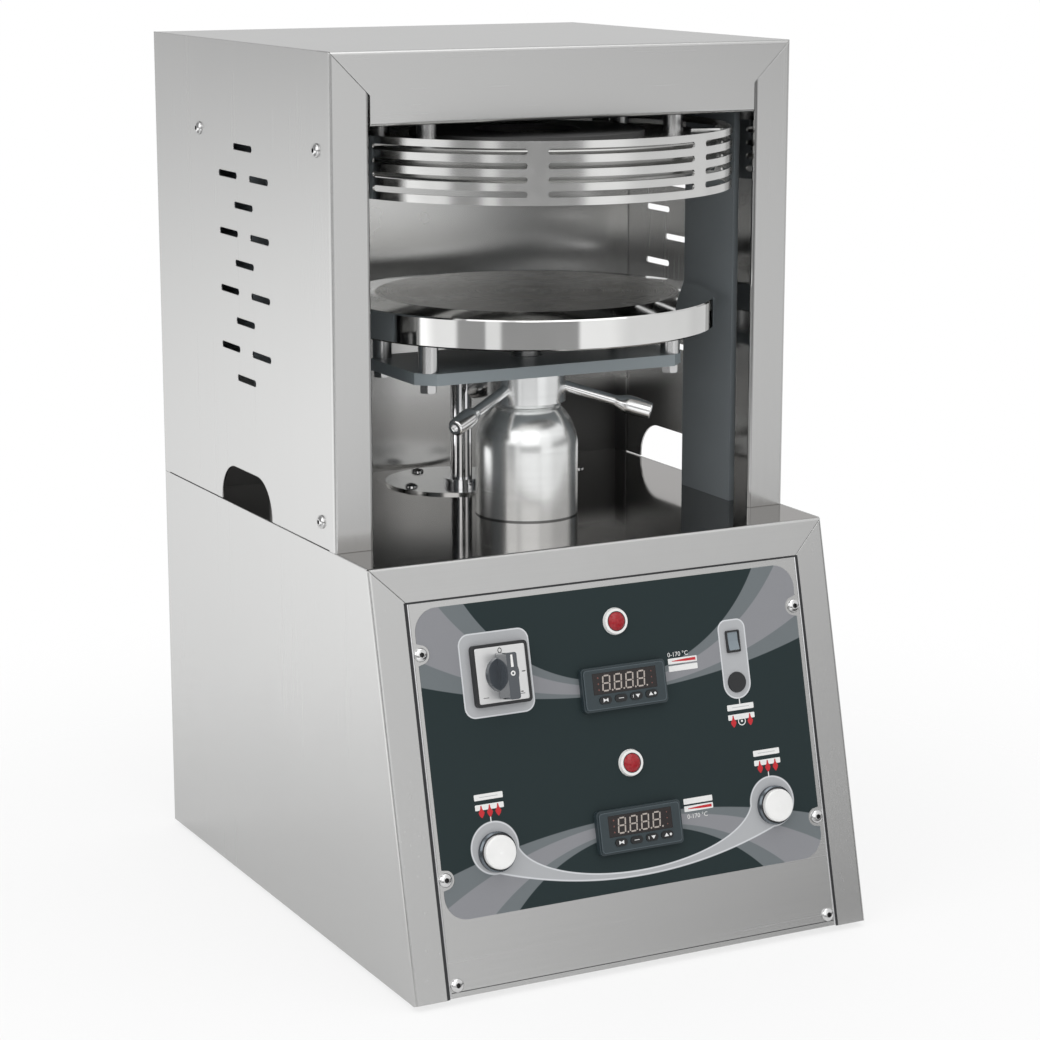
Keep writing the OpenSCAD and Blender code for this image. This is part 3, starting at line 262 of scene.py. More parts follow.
def noise(tree, scale, detail=3.0, rough=0.5):
    """Noise over the object, with so many lumps to the metre: one number, or three along the axes."""
    where = place(tree, tuple(scale * np.ones(3)))
    return tree.add("ShaderNodeTexNoise", {},
                    {"Vector": where, "Scale": 1.0, "Detail": detail, "Roughness": rough})


def lines(tree, along, scale, detail, rough=0.5):
    """Noise along one value, which draws lines where that value is even."""
    return tree.add("ShaderNodeTexNoise", {"noise_dimensions": "1D"},
                    {"W": along, "Scale": scale, "Detail": detail, "Roughness": rough})


def grain_scale(grain):
    """Lumps to the metre of a noise that is drawn out into fine streaks along the axis of the grain."""
    drawn_out, fine = 4.0, 900.0
    return np.array([drawn_out if axis == grain else fine for axis in "XYZ"])


def bump(tree, height, strength, distance, edge=0.0):
    """A bumped normal. With an edge, in metres, corners are shaded as if they were rounded by that much."""
    inputs = {"Height": height, "Strength": strength, "Distance": distance}
    if edge:
        inputs["Normal"] = tree.add("ShaderNodeBevel", {"samples": 6}, {"Radius": edge})
    return tree.add("ShaderNodeBump", {}, inputs)


def brushed(name, colour, grain, roughness, lip=None):
    """Brushed sheet: fine streaks along an axis, soft clouding, and a few long light scratches.

    Nearer the middle than lip, in metres across, it is the folded, polished lip at the jamb: smoother, and
    darkened by painted shade."""
    material, tree, shader = new_finish(name)
    streaks = noise(tree, grain_scale(grain), 4.0, 0.6)
    clouds = noise(tree, 5.0)
    scratches = noise(tree, 0.25 * grain_scale(grain), 2.0).step(0.60, 0.75)
    shade = (streaks * 0.55 + clouds * 0.45).between(0.94, 1.06)
    rough = streaks * 0.12 + clouds * 0.07 + scratches * 0.015 + (roughness - 0.10)
    if lip:
        shaded_polished_lip = 1.0 - place(tree).part("X").size().step(lip - 0.0006, lip)
        rough = rough * (1.0 - shaded_polished_lip * 0.65)
        # Painted shade: the lip inside the jamb is darkened by a third; its lower roughness is the polish
        shade = shade * (1.0 - shaded_polished_lip * 0.35)
    dress(shader, shade.tint(colour), rough, Metallic=1.0,
          Normal=bump(tree, streaks, 0.10, 0.00004, edge=0.0008))
    return material


def bright(name, colour, roughness, spread=0.0, edge=None):
    """Bright-rolled sheet: nearly a mirror, with wipe marks and slow waves, and its glints spread sideways.

    Farther from the middle than edge, in metres across, the foot of the sheet keeps a rougher mill surface,
    and is darkened by painted shade."""
    material, tree, shader = new_finish(name)
    smears = noise(tree, 9.0, 4.0, 0.6)
    waves = noise(tree, 5.0, 1.0, 0.4)
    shade, rough = smears.between(0.90, 1.08), smears * 0.08 + (roughness - 0.04)
    if edge:
        dull_to, bright_from = 0.40, 0.42
        outer = place(tree).part("X").size().step(edge - 0.004, edge)
        dull_and_shaded = outer * (1.0 - place(tree).part("Z").step(dull_to, bright_from))
        # Painted shade: the low outer part of the wall is darkened to a fifth; the added roughness is the
        # mill surface
        shade, rough = shade * (1.0 - dull_and_shaded * 0.80), rough + dull_and_shaded * 0.25
    dress(shader, shade.tint(colour), rough, Metallic=1.0, Anisotropic=spread,
          Normal=bump(tree, waves, 0.25, 0.0006))
    return material


def deck_sheet(name, mirror, strip, edge):
    """Deck: a mirror darkened by painted shade under the hood, and ahead of edge, in metres along Y, the
    brushed strip over the panel.
    """
    material, tree, shader = new_finish(name)
    ahead = 1.0 - place(tree).part("Y").step(edge - 0.0004, edge + 0.0004)
    streaks = noise(tree, grain_scale("X"), 4.0, 0.6)
    smears = noise(tree, 12.0, 4.0, 0.6)
    waves = noise(tree, 5.0, 1.0, 0.4)
    shade = (streaks * 0.4 + smears * 0.6).between(0.90, 1.10)
    rough = ahead * (streaks * 0.12 + 0.22) + smears * 0.07 + 0.035
    # Painted shade: behind the strip the deck takes the dark deck colour
    dress(shader, shade.tint(ahead.mix(mirror, strip)), rough, Metallic=1.0,
          Normal=bump(tree, waves + streaks * 0.02 * ahead, 0.2, 0.0006))
    return material


def pressing_plate(name, face, rim, border, edge):
    """Lower platen: a satin turned face with a whirl at its middle, then a polished border and rim.

    The border and the edge are distances from the axis in metres."""
    material, tree, shader = new_finish(name)
    reach = from_axis(tree)
    shiny = reach.step(border - 0.0005, border + 0.0005)
    side = reach.step(edge - 0.0008, edge)
    rings = lines(tree, reach, 1100.0, 3.0, 0.6)
    broad = lines(tree, reach, 90.0, 2.0)
    whirl = (1.0 - reach.step(0.010, 0.045)) * tree.maths("SINE", reach * 260.0)
    clouds = noise(tree, 14.0)
    shade = (broad * 0.5 + clouds * 0.5).between(0.80, 1.20) + whirl * 0.12
    satin = (1.0 - shiny) * (rings * 0.12 + clouds * 0.08 + 0.12)
    marks = (rings + broad * 6.0 + whirl * 18.0) * (1.0 - shiny)
    dress(shader, shade.tint(shiny.mix(face, rim)), satin + clouds * 0.05 + side * 0.01 + 0.03,
          Metallic=1.0, Normal=bump(tree, marks, 0.12, 0.00008))
    return material


def turned(name, colour, roughness, pitch=1400.0, depth=0.12, metal=1.0, foot=0.0):
    """Metal turned about the press's axis: rings by distance, lines by height, and a faint spiral of wear.

    Below the height of foot, in metres, it is darkened: painted shade along its joint with the deck."""
    material, tree, shader = new_finish(name)
    reach, height = from_axis(tree), place(tree).part("Z")
    rings = lines(tree, reach + height, pitch, 3.0, 0.6)
    wide = lines(tree, reach - height, pitch * 0.11, 2.0)
    clouds = noise(tree, 14.0)
    shade = (wide * 0.5 + clouds * 0.5).between(0.88, 1.10)
    if foot:
        # Painted shade: a quarter of the brightness below the foot, where the bell meets the deck
        shade = shade * height.step(foot - 0.0004, foot + 0.0004).between(0.25, 1.0)
    dress(shader, shade.tint(colour), rings * 0.10 + clouds * 0.08 + (roughness - 0.09), Metallic=metal,
          Normal=bump(tree, rings, depth, 0.00006))
    return material


def painted(name, colour, roughness=0.42):
    """Sprayed paint: orange-peel bump and slow changes of tone and sheen."""
    material, tree, shader = new_finish(name)
    peel, clouds = noise(tree, 420.0, 2.0), noise(tree, 9.0)
    dress(shader, clouds.between(0.90, 1.10).tint(colour), peel * 0.10 + clouds * 0.08 + (roughness - 0.09),
          Normal=bump(tree, peel, 0.15, 0.0001))
    return material


def moulded(name, colour, roughness, grain=900.0, depth=0.12, coat=0.0):
    """Moulded plastic: fine spark-eroded grain and a slight bloom in the tone."""
    material, tree, shader = new_finish(name)
    pores, bloom = noise(tree, grain, 2.0), noise(tree, 35.0)
    dress(shader, bloom.between(0.90, 1.10).tint(colour), pores * 0.10 + bloom * 0.06 + (roughness - 0.08),
          Coat_Weight=coat, Normal=bump(tree, pores, depth, 0.00005))
    return material


def plated(name, colour, roughness):
    """Plated or ground metal: a clean mirror with faint cloudy wear."""
    material, tree, shader = new_finish(name)
    wear = noise(tree, 60.0, 4.0, 0.6)
    dress(shader, wear.between(0.93, 1.05).tint(colour), wear * 0.08 + (roughness - 0.03), Metallic=1.0)
    return material


def clear_red(name):
    """Red lamp lens: deep glossy red with the fine ribs of a moulded lens under the surface."""
    material, tree, shader = new_finish(name)
    ribs = noise(tree, 700.0, 1.0)
    dress(shader, ribs.mix((0.24, 0.006, 0.012), (0.46, 0.020, 0.03)), ribs.between(0.16, 0.28),
          Specular_IOR_Level=0.3, Coat_Weight=0.2, Coat_Roughness=0.04, Normal=bump(tree, ribs, 0.25, 0.0001))
    return material


def rim_of(link):
    """Colour of the line round the film's light surrounds."""
    return tuple(1.5 * share for share in link)


def film_print(name, ground, strip, band, link):
    """Printed film: a smiling and a frowning band of greys, and a light link round the push buttons.

    Every edge is a circle, read from the film's own map in hundreds of millimetres: across from the middle,
    and down from the front's top edge. A point is in a band when outside one circle and inside another."""
    material, tree, shader = new_finish(name)
    chart = tree.add("ShaderNodeUVMap", {"uv_map": "film"})
    across, down = chart.part("X"), chart.part("Y")
    blur, soft_end, line = 0.004, 0.005, 0.013
    # Circles of the bands' edges: how far down the middle is, and the radius
    smile = ((-0.442, 1.587), (-0.774, 1.957), (-2.533, 3.774), (-4.976, 6.234))
    frown = ((8.53, 6.256), (6.00, 3.695), (4.507, 2.132), (4.037, 1.639))
    # The buttons' surrounds, and the sweep between them: outside an oval, inside a circle, within its ends
    button_s, button_r, button_x = 2.352, 0.218, (-1.300, 1.345)
    oval_x, oval_s, oval_wide, oval_tall = 0.018, 2.30, 1.120, 0.43
    sweep_x, sweep_s, sweep_r = 0.03, -1.347, 4.130
    sweep_left, sweep_right, sweep_top = -1.405, 1.435, 2.36

    def outside(s, radius, x=0.025):
        """0 within a circle and 1 outside it."""
        far = ((across - x) * (across - x) + (down - s) * (down - s)) ** 0.5
        return far.step(radius - blur, radius + blur)

    def past(way, end):
        """0 before a straight end and 1 past it."""
        return way.step(end - soft_end, end + soft_end)

    def link_mask(shrink):
        """Surrounds of the push buttons and the sweep between them, drawn in by shrink."""
        left, right = (1.0 - outside(button_s, button_r - shrink, x) for x in button_x)
        oval = (((across - oval_x) * (1.0 / (oval_wide + shrink))) ** 2
                + ((down - oval_s) * (1.0 / (oval_tall + shrink))) ** 2)
        sweep = oval.step(0.99, 1.01) * (1.0 - outside(sweep_s, sweep_r - shrink, sweep_x))
        sweep = sweep * past(down, sweep_top) * past(across, sweep_left) * (1.0 - past(across, sweep_right))
        return sweep.highest(left).highest(right)

    upper_in, upper_a, upper_b, upper_out = (outside(*circle) for circle in smile)
    lower_out, lower_a, lower_b, lower_in = (outside(*circle) for circle in frown)
    lower = (1.0 - lower_out) * lower_in
    speck = noise(tree, 2500.0, 1.0)
    colour = (upper_in * (1.0 - upper_out)).mix(ground, strip)
    colour = (upper_a * (1.0 - upper_b)).mix(colour, band)
    colour = lower.mix(colour, strip)
    colour = ((1.0 - lower_a) * lower_b * lower).mix(colour, band)
    colour = link_mask(0.0).mix(colour, rim_of(link))
    colour = link_mask(line).mix(colour, link)
    dress(shader, colour, speck.between(0.36, 0.44), Specular_IOR_Level=0.12,
          Normal=bump(tree, speck, 0.05, 0.00003))
    return material


def ink(name, colour):
    """Screen-printed ink: one colour with the faint mesh of the screen."""
    material, tree, shader = new_finish(name)
    speck = noise(tree, 1800.0, 1.0)
    dress(shader, speck.between(0.93, 1.05).tint(colour), speck.between(0.37, 0.47))
    return material


def finish_of(node):
    """The finish that a CAD node was given."""
    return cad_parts[node].data.materials[0]


# Surfaces


# Edges that bend by more than this, in radians, stay sharp
SHARP_BEND = math.radians(35.0)

# Turns of a bar, in degrees, that lay it to the right and to the left across the front
RIGHTWARDS, LEFTWARDS = -90.0, 90.0


def on_front(x, s, h):
    """Points of the sloping front in metres, from x across, s down it and h out of it in millimetres."""
    x, s, h = np.broadcast_arrays(np.asarray(x, float), np.asarray(s, float), np.asarray(h, float))
    return (FRONT_EDGE + x[..., None] * ACROSS - s[..., None] * UP + h[..., None] * OUT) * MM


def about_axis(reach, along, origin, axis, turns=96):
    """Surface of revolution: a profile, by reach from an axis and place along it, is carried round a circle.

    The profile runs down the first way of the grid and the turn along the second; lengths in millimetres.
    A reach with a second direction gives a profile for each turn, such as a hexagon's."""
    axis = np.asarray(axis, float) / np.linalg.norm(axis)
    side = np.cross(axis, [0.0, 0.0, 1.0] if abs(axis[2]) < 0.9 else [1.0, 0.0, 0.0])
    side /= np.linalg.norm(side)
    other = np.cross(axis, side)
    angle = np.linspace(0.0, 2.0 * np.pi, turns, endpoint=False)
    spokes = np.cos(angle)[:, None] * side + np.sin(angle)[:, None] * other
    reach, along = np.asarray(reach, float), np.asarray(along, float)
    reach = reach if reach.ndim == 2 else reach[:, None]
    points = reach[..., None] * spokes[None] + along[:, None, None] * axis
    return (np.asarray(origin, float) + points) * MM


def make_mesh(name, grids, chart=None):
    """One mesh from grids of points, each (array, wraps): quads join neighbours; wraps closes the second way.

    Poles and seams are welded, and faces turned outwards. A chart holds the points' places on the film."""
    corners, quads, start = [], [], 0
    for points, wraps in grids:
        rows, columns = points.shape[:2]
        index = start + np.arange(rows * columns).reshape(rows, columns)
        if wraps:
            index = np.concatenate([index, index[:, :1]], axis=1)
        around = [index[:-1, :-1], index[:-1, 1:], index[1:, 1:], index[1:, :-1]]
        quads.append(np.stack(around, -1).reshape(-1, 4))
        corners.append(points.reshape(-1, 3))
        start += rows * columns
    mesh = bpy.data.meshes.new(name)
    mesh.from_pydata(np.concatenate(corners).tolist(), [], np.concatenate(quads).tolist())
    if chart is not None:
        layer = mesh.uv_layers.new(name="film")
        order = np.empty(len(mesh.loops), np.int32)
        mesh.loops.foreach_get("vertex_index", order)
        layer.data.foreach_set("uv", chart.reshape(-1, 2)[order].astype(np.float32).ravel())
    work = bmesh.new()
    work.from_mesh(mesh)
    bmesh.ops.remove_doubles(work, verts=work.verts, dist=1e-7)
    bmesh.ops.dissolve_degenerate(work, edges=work.edges, dist=1e-8)
    bmesh.ops.recalc_face_normals(work, faces=work.faces)
    work.to_mesh(mesh)
    work.free()
    mesh.shade_smooth()
    mesh.set_sharp_from_angle(angle=SHARP_BEND)
    return mesh


def face_out(mesh, direction):
    """Turns every face of flat, open shapes that looks against a direction."""
    work = bmesh.new()
    work.from_mesh(mesh)
    wrong = [face for face in work.faces if face.normal.dot(Vector(direction)) < 0]
    bmesh.ops.reverse_faces(work, faces=wrong)
    work.to_mesh(mesh)
    work.free()
    return mesh


def add_piece(mesh, material, body, stands_for=()):
    """Adds a finished mesh as an object that rides on a CAD body."""
    mesh.materials.append(material)
    piece = bpy.data.objects.new(mesh.name, mesh)
    bpy.context.scene.collection.objects.link(piece)
    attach(piece, body)
    if stands_for:
        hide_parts(*stands_for)


def add_flat(name, grids, material, body="cabinet"):
    """Adds flat shapes on the front as one piece."""
    add_piece(face_out(make_mesh(name, grids), OUT), material, body)


def bar(x, s, width, end_width, length, h, turn=0.0):
    """Flat bar from (x, s) down the front, turned about that point: its width changes evenly along it."""
    share = np.linspace(0.0, 1.0, 2)[:, None]
    side = np.linspace(-0.5, 0.5, 2)[None, :]
    across = side * (width + (end_width - width) * share)
    down = share * length + 0.0 * side
    cosine, sine = math.cos(math.radians(turn)), math.sin(math.radians(turn))
    return on_front(x + across * cosine - down * sine, s + across * sine + down * cosine, h), False


def bead(x, top, low, radius):
    """Half-round bead down the front: for a from 0 to pi, the point (x - radius cos a, radius sin a)."""
    angle = np.linspace(0.0, np.pi, 9)[:, None]
    return on_front(x - radius * np.cos(angle), np.array([[top, low]]), radius * np.sin(angle)), False


def draw_in(into, radius):
    """How far a round corner draws an edge in, so far into the corner: radius - sqrt(radius^2 - into^2)."""
    return radius - np.sqrt(np.maximum(radius ** 2 - np.clip(into, 0.0, radius) ** 2, 0.0))


def rounded(left, right, top, low, radius, h, rows=41, low_radius=None):
    """Flat rectangle with round corners: each row runs between edges that draw in within the corners.

    The lower corners may have a radius of their own."""
    low_radius = low_radius or radius
    s = top + (low - top) * (0.5 - 0.5 * np.cos(np.linspace(0.0, np.pi, rows)))
    draw = draw_in(top + radius - s, radius) + draw_in(s - (low - low_radius), low_radius)
    share = np.linspace(0.0, 1.0, 3)[None, :]
    start, end = (left + draw)[:, None], (right - draw)[:, None]
    return on_front(start + (end - start) * share, s[:, None] + 0.0 * share, h), False


def ring(x, s, inner, outer, h, turns=64, tall=1.0):
    """Flat ring on the front between two radii, stretched along the slope by tall."""
    angle = np.linspace(0.0, 2.0 * np.pi, turns, endpoint=False)[None, :]
    reach = np.array([inner, outer])[:, None]
    return on_front(x + reach * np.cos(angle), s + tall * reach * np.sin(angle), h), True


def outline(x, s, wide, tall, radius, line, h):
    """Closed line round a rectangle with round corners: at each corner an arc of two rows of points."""
    steps = 9
    angle = np.radians(np.concatenate([np.linspace(90 * k, 90 * k + 90, steps) for k in range(4)]))
    corner = np.repeat(np.array([[1, 1], [-1, 1], [-1, -1], [1, -1]]), steps, axis=0)
    centre = corner * (np.array([wide, tall]) / 2 - radius)
    reach = np.array([radius - line, radius])[:, None]
    across, down = centre[:, 0] + reach * np.cos(angle), centre[:, 1] + reach * np.sin(angle)
    return on_front(x + across, s + down, h), True


def lettering(name, words, x, s, size, h):
    """Mesh of flat letters on the front: the font's outline (u, v) goes to its point (x + u, s - v)."""
    curve = bpy.data.curves.new("letters", "FONT")
    curve.body, curve.size, curve.align_x, curve.resolution_u = words, size, "CENTER", 3
    holder = bpy.data.objects.new("letters", curve)
    bpy.context.scene.collection.objects.link(holder)
    mesh = bpy.data.meshes.new_from_object(holder.evaluated_get(bpy.context.evaluated_depsgraph_get()))
    bpy.data.objects.remove(holder)
    flat = np.empty(3 * len(mesh.vertices))
    mesh.vertices.foreach_get("co", flat)
    flat = flat.reshape(-1, 3)
    mesh.vertices.foreach_set("co", on_front(x + flat[:, 0], s - flat[:, 1], h).astype(np.float32).ravel())
    mesh.update()
    mesh.materials.clear()
    mesh.name = name
    return mesh


# Operators


class PRESS_OT_finishes(bpy.types.Operator):
    """Make the finishes and put one on every solid"""

    bl_idname = "press.finishes"
    bl_label = "Finishes"

    def execute(self, context):
        look = context.scene.press_finish
        for finish, *nodes in self.metals(look) + self.paints_and_plastics(look):
            for name in nodes:
                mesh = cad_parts[name].data
                mesh.materials.clear()
                mesh.materials.append(finish)
        return {"FINISHED"}

    def metals(self, look):
        """Sheets and turned and plated metal, each with the solids that are made of it."""
        steel, shiny, rough = tuple(look.stainless), tuple(look.bright), look.sheet_roughness
        # Where one surface of a solid ends and the next begins, in metres
        jamb, strip_edge, wall_edge, face_border = 0.1834, -0.1844, 0.152, 0.1302
        # Top of the painted shade at the bell's foot, and the edge of the platen, in metres
        bell_shade_top, platen_edge = (DECK_TOP + 1.2) * MM, (highest_corner("lower_platen")[0] - 1.2) * MM
        return [
            (brushed("Brushed sheet, upright grain", steel, "Z", rough), "base_left_side", "base_right_side"),
            (brushed("Brushed hood sheet", steel, "Z", rough, lip=jamb), "hood_left_side", "hood_right_side"),
            (brushed("Brushed sheet, level grain", steel, "X", rough),
             "base_rear_panel", "base_floor", "control_panel", "hood_top", "hood_back"),
            (deck_sheet("Bright deck sheet", tuple(look.deck), steel, strip_edge), "base_deck"),
            (bright("Bright deck cover", shiny, 0.16), "deck_cover"),
            (bright("Bright back wall", shiny, 0.26, spread=0.90, edge=wall_edge), "chamber_back_wall"),
            (plated("Satin guard ring", (0.72, 0.72, 0.71), 0.16), "guard_ring"),
            (turned("Satin bell", (0.93, 0.94, 0.935), 0.24, depth=0.012, metal=0.90, foot=bell_shade_top),
             "ram_housing"),
            (turned("Turned hub", (0.82, 0.83, 0.83), 0.20, depth=0.06, metal=0.92), "thickness_hub"),
            (plated("Zinc-plated fittings", (0.62, 0.62, 0.62), 0.22),
             "frame_bolts", "carrier_bolts", "upper_spacers", "lower_spacers", "hub_handles", "lead_screw"),
            (plated("Ground chrome", (0.78, 0.78, 0.79), 0.08), "ram", "guide_rod", "guide_bush"),
            (turned("Turned upper platen", (0.42, 0.42, 0.41), 0.28, pitch=900.0, depth=0.2), "upper_platen"),
            (pressing_plate("Pressing platen", (0.66, 0.65, 0.63), (0.80, 0.80, 0.79), face_border,
                            platen_edge), "lower_platen"),
            (plated("Bright dome screws", (0.66, 0.66, 0.66), 0.12), "housing_screws"),
            (plated("Dark button rings", (0.16, 0.18, 0.20), 0.18), "button_bezels"),
            (plated("Bronze bush", (0.55, 0.38, 0.20), 0.28), "ram_bush"),
            (brushed("Switch face plate", (0.80, 0.80, 0.80), "X", 0.36), "switch_plate"),
        ]

    def paints_and_plastics(self, look):
        """Sprayed paint and moulded plastic, each with the solids that are made of it."""
        keys = [f"{row}_key_{k}" for row in ("upper", "lower") for k in (1, 2, 3, 4)]
        return [
            (painted("Blue-grey frame paint", tuple(look.paint)),
             "left_upright", "right_upright", "crosshead", "bolster", "gearmotor"),
            (painted("Grey carrier paint", (0.27, 0.31, 0.33), 0.36), "carrier_plate"),
            (moulded("Heater clamp plate", (0.05, 0.05, 0.05), 0.55, grain=120.0, depth=0.3),
             "upper_heater", "lower_heater"),
            (moulded("Foot rubber", (0.02, 0.02, 0.02), 0.7, grain=500.0, depth=0.3), "feet"),
            (moulded("Satin black plastic", (0.016, 0.017, 0.019), 0.42),
             "switch_frame", "rocker_bezel", "fuse_cap", "cable_gland"),
            (moulded("Lever plastic", (0.040, 0.049, 0.060), 0.16, grain=1500.0, depth=0.03, coat=1.0),
             "switch_lever"),
            (moulded("Slate bezel plastic", (0.028, 0.043, 0.050), 0.40),
             "upper_controller", "lower_controller"),
            (moulded("White button plastic", (0.87, 0.87, 0.86), 0.30, coat=0.4),
             "pilot_bezels", "left_button", "right_button"),
            (clear_red("Red lamp lens"), "pilot_lenses"),
            (moulded("Smoked display window", (0.014, 0.010, 0.010), 0.22, grain=1500.0, depth=0.02),
             "controller_lenses"),
            (moulded("Smoky rocker", (0.20, 0.24, 0.27), 0.22, coat=0.6), "rocker_paddle"),
            (moulded("Controller key", (0.010, 0.011, 0.012), 0.38), *keys),
        ]


class PRESS_OT_film(bpy.types.Operator):
    """Lay the printed film on the control panel"""

    bl_idname = "press.film"
    bl_label = "Printed film"

    def execute(self, context):
        look = context.scene.press_finish
        # Rows run between the film's left and right edges, which draw in at its corners and round the screws
        notch, map_unit = 8.0, 100.0
        corner = FILM_CORNER * (1.0 - np.cos(np.linspace(0.0, np.pi / 2, 30)))
        rows = (np.linspace(FILM_TOP, FILM_LOW, 240), FILM_TOP + corner, FILM_LOW - corner)
        s = np.unique(np.concatenate(rows))
        draw = draw_in(np.maximum(FILM_TOP - s, s - FILM_LOW) + FILM_CORNER, FILM_CORNER)
        for screw in SCREW_ROWS[:2]:
            bite = np.sqrt(np.maximum(notch ** 2 - (s - screw) ** 2, 0.0))
            draw = np.maximum(draw, np.where(bite > 0, bite + FILM_SIDE - SCREW_SIDE, 0.0))
        share = np.linspace(-1.0, 1.0, 121)[None, :]
        x, down = (FILM_SIDE - draw)[:, None] * share, s[:, None] + 0.0 * share
        chart = np.stack([x, down], -1) / map_unit
        mesh = make_mesh("panel_film", [(on_front(x, down, FILM_FACE), False)], chart)
        colours = (tuple(shade) for shade in (look.film, look.film_strip, look.film_band, look.film_link))
        add_piece(face_out(mesh, OUT), film_print("Printed film", *colours), "cabinet")
        return {"FINISHED"}


class PRESS_OT_marks(bpy.types.Operator):
    """Print the surrounds, icons and scales on the film and the switch plate, and lay the panel's edge beads
    and the painted shade in the gaps round the panel, lamps and buttons
    """

    bl_idname = "press.marks"
    bl_label = "Printed marks"

    def execute(self, context):
        link = tuple(context.scene.press_finish.film_link)
        white, red = ink("White ink", (0.82, 0.82, 0.81)), ink("Red ink", (0.55, 0.012, 0.02))
        grey, dark = ink("Light grey ink", link), ink("Dark ink", (0.015, 0.016, 0.018))
        rim, rim_wide, letter_size = ink("Surround edge ink", rim_of(link)), 1.2, 5.4
        bars, drops, rules = self.icons()
        plates, pointers = self.scales()
        add_flat("film_surround_edges", self.surrounds(0.0, EDGE_COAT), rim)
        add_flat("film_surrounds", self.surrounds(rim_wide, SURROUND_COAT), grey)
        add_flat("film_bars", bars + plates, white)
        add_flat("film_drops", drops + pointers, red)
        add_flat("film_bar_lines", rules, grey)
        add_flat("film_dial", self.dial(), white)
        for name, x, s in (("upper_scale_figures", 58.5, 101.6), ("lower_scale_figures", 60.5, 238.2)):
            letters = lettering(name, "0-170 °C", x, s, letter_size, LETTER_COAT)
            add_piece(face_out(letters, OUT), white, "cabinet")
        self.edges_and_shaded_gaps()
        self.mark_switch(dark)
        return {"FINISHED"}

    def surrounds(self, inset, coat):
        """Light fields round the lever switch and round the rocker with its cap, drawn in by inset."""
        # Left, right, top, low, upper corners, lower corners, rows
        fields = ((-143.4, -79.2, 60.6, 129.7, 9.8, 9.8, 41), (99.6, 126.4, 76.8, 144.5, 8.2, 13.3, 61))
        return [rounded(left + inset, right - inset, top + inset, low - inset, high_corner - inset, coat,
                        rows, low_corner - inset)
                for left, right, top, low, high_corner, low_corner, rows in fields]

    def icons(self):
        """Two platens, a rule on the upper one, drops from the lower one, and a stem to the control."""
        half, upper_tall, lower_down, lower_tall, corner = 13.0, 5.0, 8.4, 4.6, 0.6
        rule, rule_down, rule_tall = 17.0, 2.3, 0.45
        drop_down, drop_widths, drop_lengths = 9.2, (1.0, 1.8, 5.4, 4.0, 0.8), (2.6, 3.2, 2.0, 2.2)
        stem, stem_long, stems = 0.9, 6.0, ((-131.0, 208.0), (134.0, 208.0), (113.4, 143.6))
        three, two = (-7.6, 0.0, 7.6), (-8.2, 8.2)
        bars = [bar(x, s, stem, stem, stem_long, EDGE_COAT) for x, s in stems]
        drops, rules = [], []
        for x, s, spots in ((-131.0, 190.5, three), (134.0, 190.5, three), (113.6, 149.0, two)):
            for top, tall in ((s, upper_tall), (s + lower_down, lower_tall)):
                bars.append(rounded(x - half, x + half, top, top + tall, corner, BAR_COAT, 9))
            rules.append(bar(x, s + rule_down, rule, rule, rule_tall, LINE_COAT))
            for spot in spots:
                top = s + drop_down
                for width, end_width, length in zip(drop_widths, drop_widths[1:], drop_lengths):
                    drops.append(bar(x + spot, top, width, end_width, length, DROP_COAT))
                    top += length
        return bars, drops, rules

    def scales(self):
        """Two plates beside each controller, with a tapering pointer on the plate that comes first."""
        x, half, tall, apart, corner = 62.5, 14.0, 4.8, 6.2, 0.5
        # Each part of a pointer: its start to the right, its two widths and its length to the left
        pointer = ((12.6, 2.4, 2.0, 11.0), (1.6, 2.0, 0.5, 12.0))
        plates, pointers = [], []
        for s, order in ((103.0, (0.0, apart)), (221.2, (apart, 0.0))):
            for top in (s + down for down in order):
                plates.append(rounded(x - half, x + half, top, top + tall, corner, BAR_COAT, 9))
            middle = s + order[0] + tall / 2
            pointers += [bar(x + start, middle, width, end_width, length, DROP_COAT, LEFTWARDS)
                         for start, width, end_width, length in pointer]
        return plates, pointers

    def dial(self):
        """A small timer dial: a ring, a dot and three ticks."""
        x, s, reach, wide, tall = 113.6, 163.6, 4.6, 0.8, 1.4
        parts = [ring(x, s, 3.0, 3.8, DROP_COAT, 40), ring(x, s, 0.0, 1.0, DROP_COAT, 24)]
        for way in np.radians((-60.0, 0.0, 60.0)):
            top = s - reach * math.cos(way) - tall / 2
            parts.append(bar(x + reach * math.sin(way), top, wide, wide, tall, DROP_COAT))
        return parts

    def edges_and_shaded_gaps(self):
        """Dark strips of painted shade in the gaps round the panel, bright edge beads, and dark rings of
        painted shade round the pilot lamps and the push buttons.
        """
        # Across and down to the middle of a strip's top, its width and its length
        strips = ((-185.5, 29.8, 2.5, 320.0), (185.5, 29.8, 2.5, 320.0), (0.0, 29.8, 369.0, 1.3),
                  (0.0, 344.6, 365.0, 0.6))
        bead_side, bead_top, bead_low, bead_radius = 183.55, 31.2, 348.8, 0.75
        lamp_shade_ring, button_shade_ring, over_lamp, over_button = (7.72, 8.4), (13.95, 15.3), 0.05, 0.06
        black, chrome = finish_of("switch_frame"), finish_of("guide_rod")
        # Painted shade: flat black strips over the gaps round the panel
        gap_strips = [bar(x, s, wide, wide, length, SHADE_STRIP_FACE) for x, s, wide, length in strips]
        add_flat("panel_painted_gaps", gap_strips, black)
        beads = [bead(x, bead_top, bead_low, bead_radius) for x in (-bead_side, bead_side)]
        add_flat("panel_edge_beads", beads, chrome)
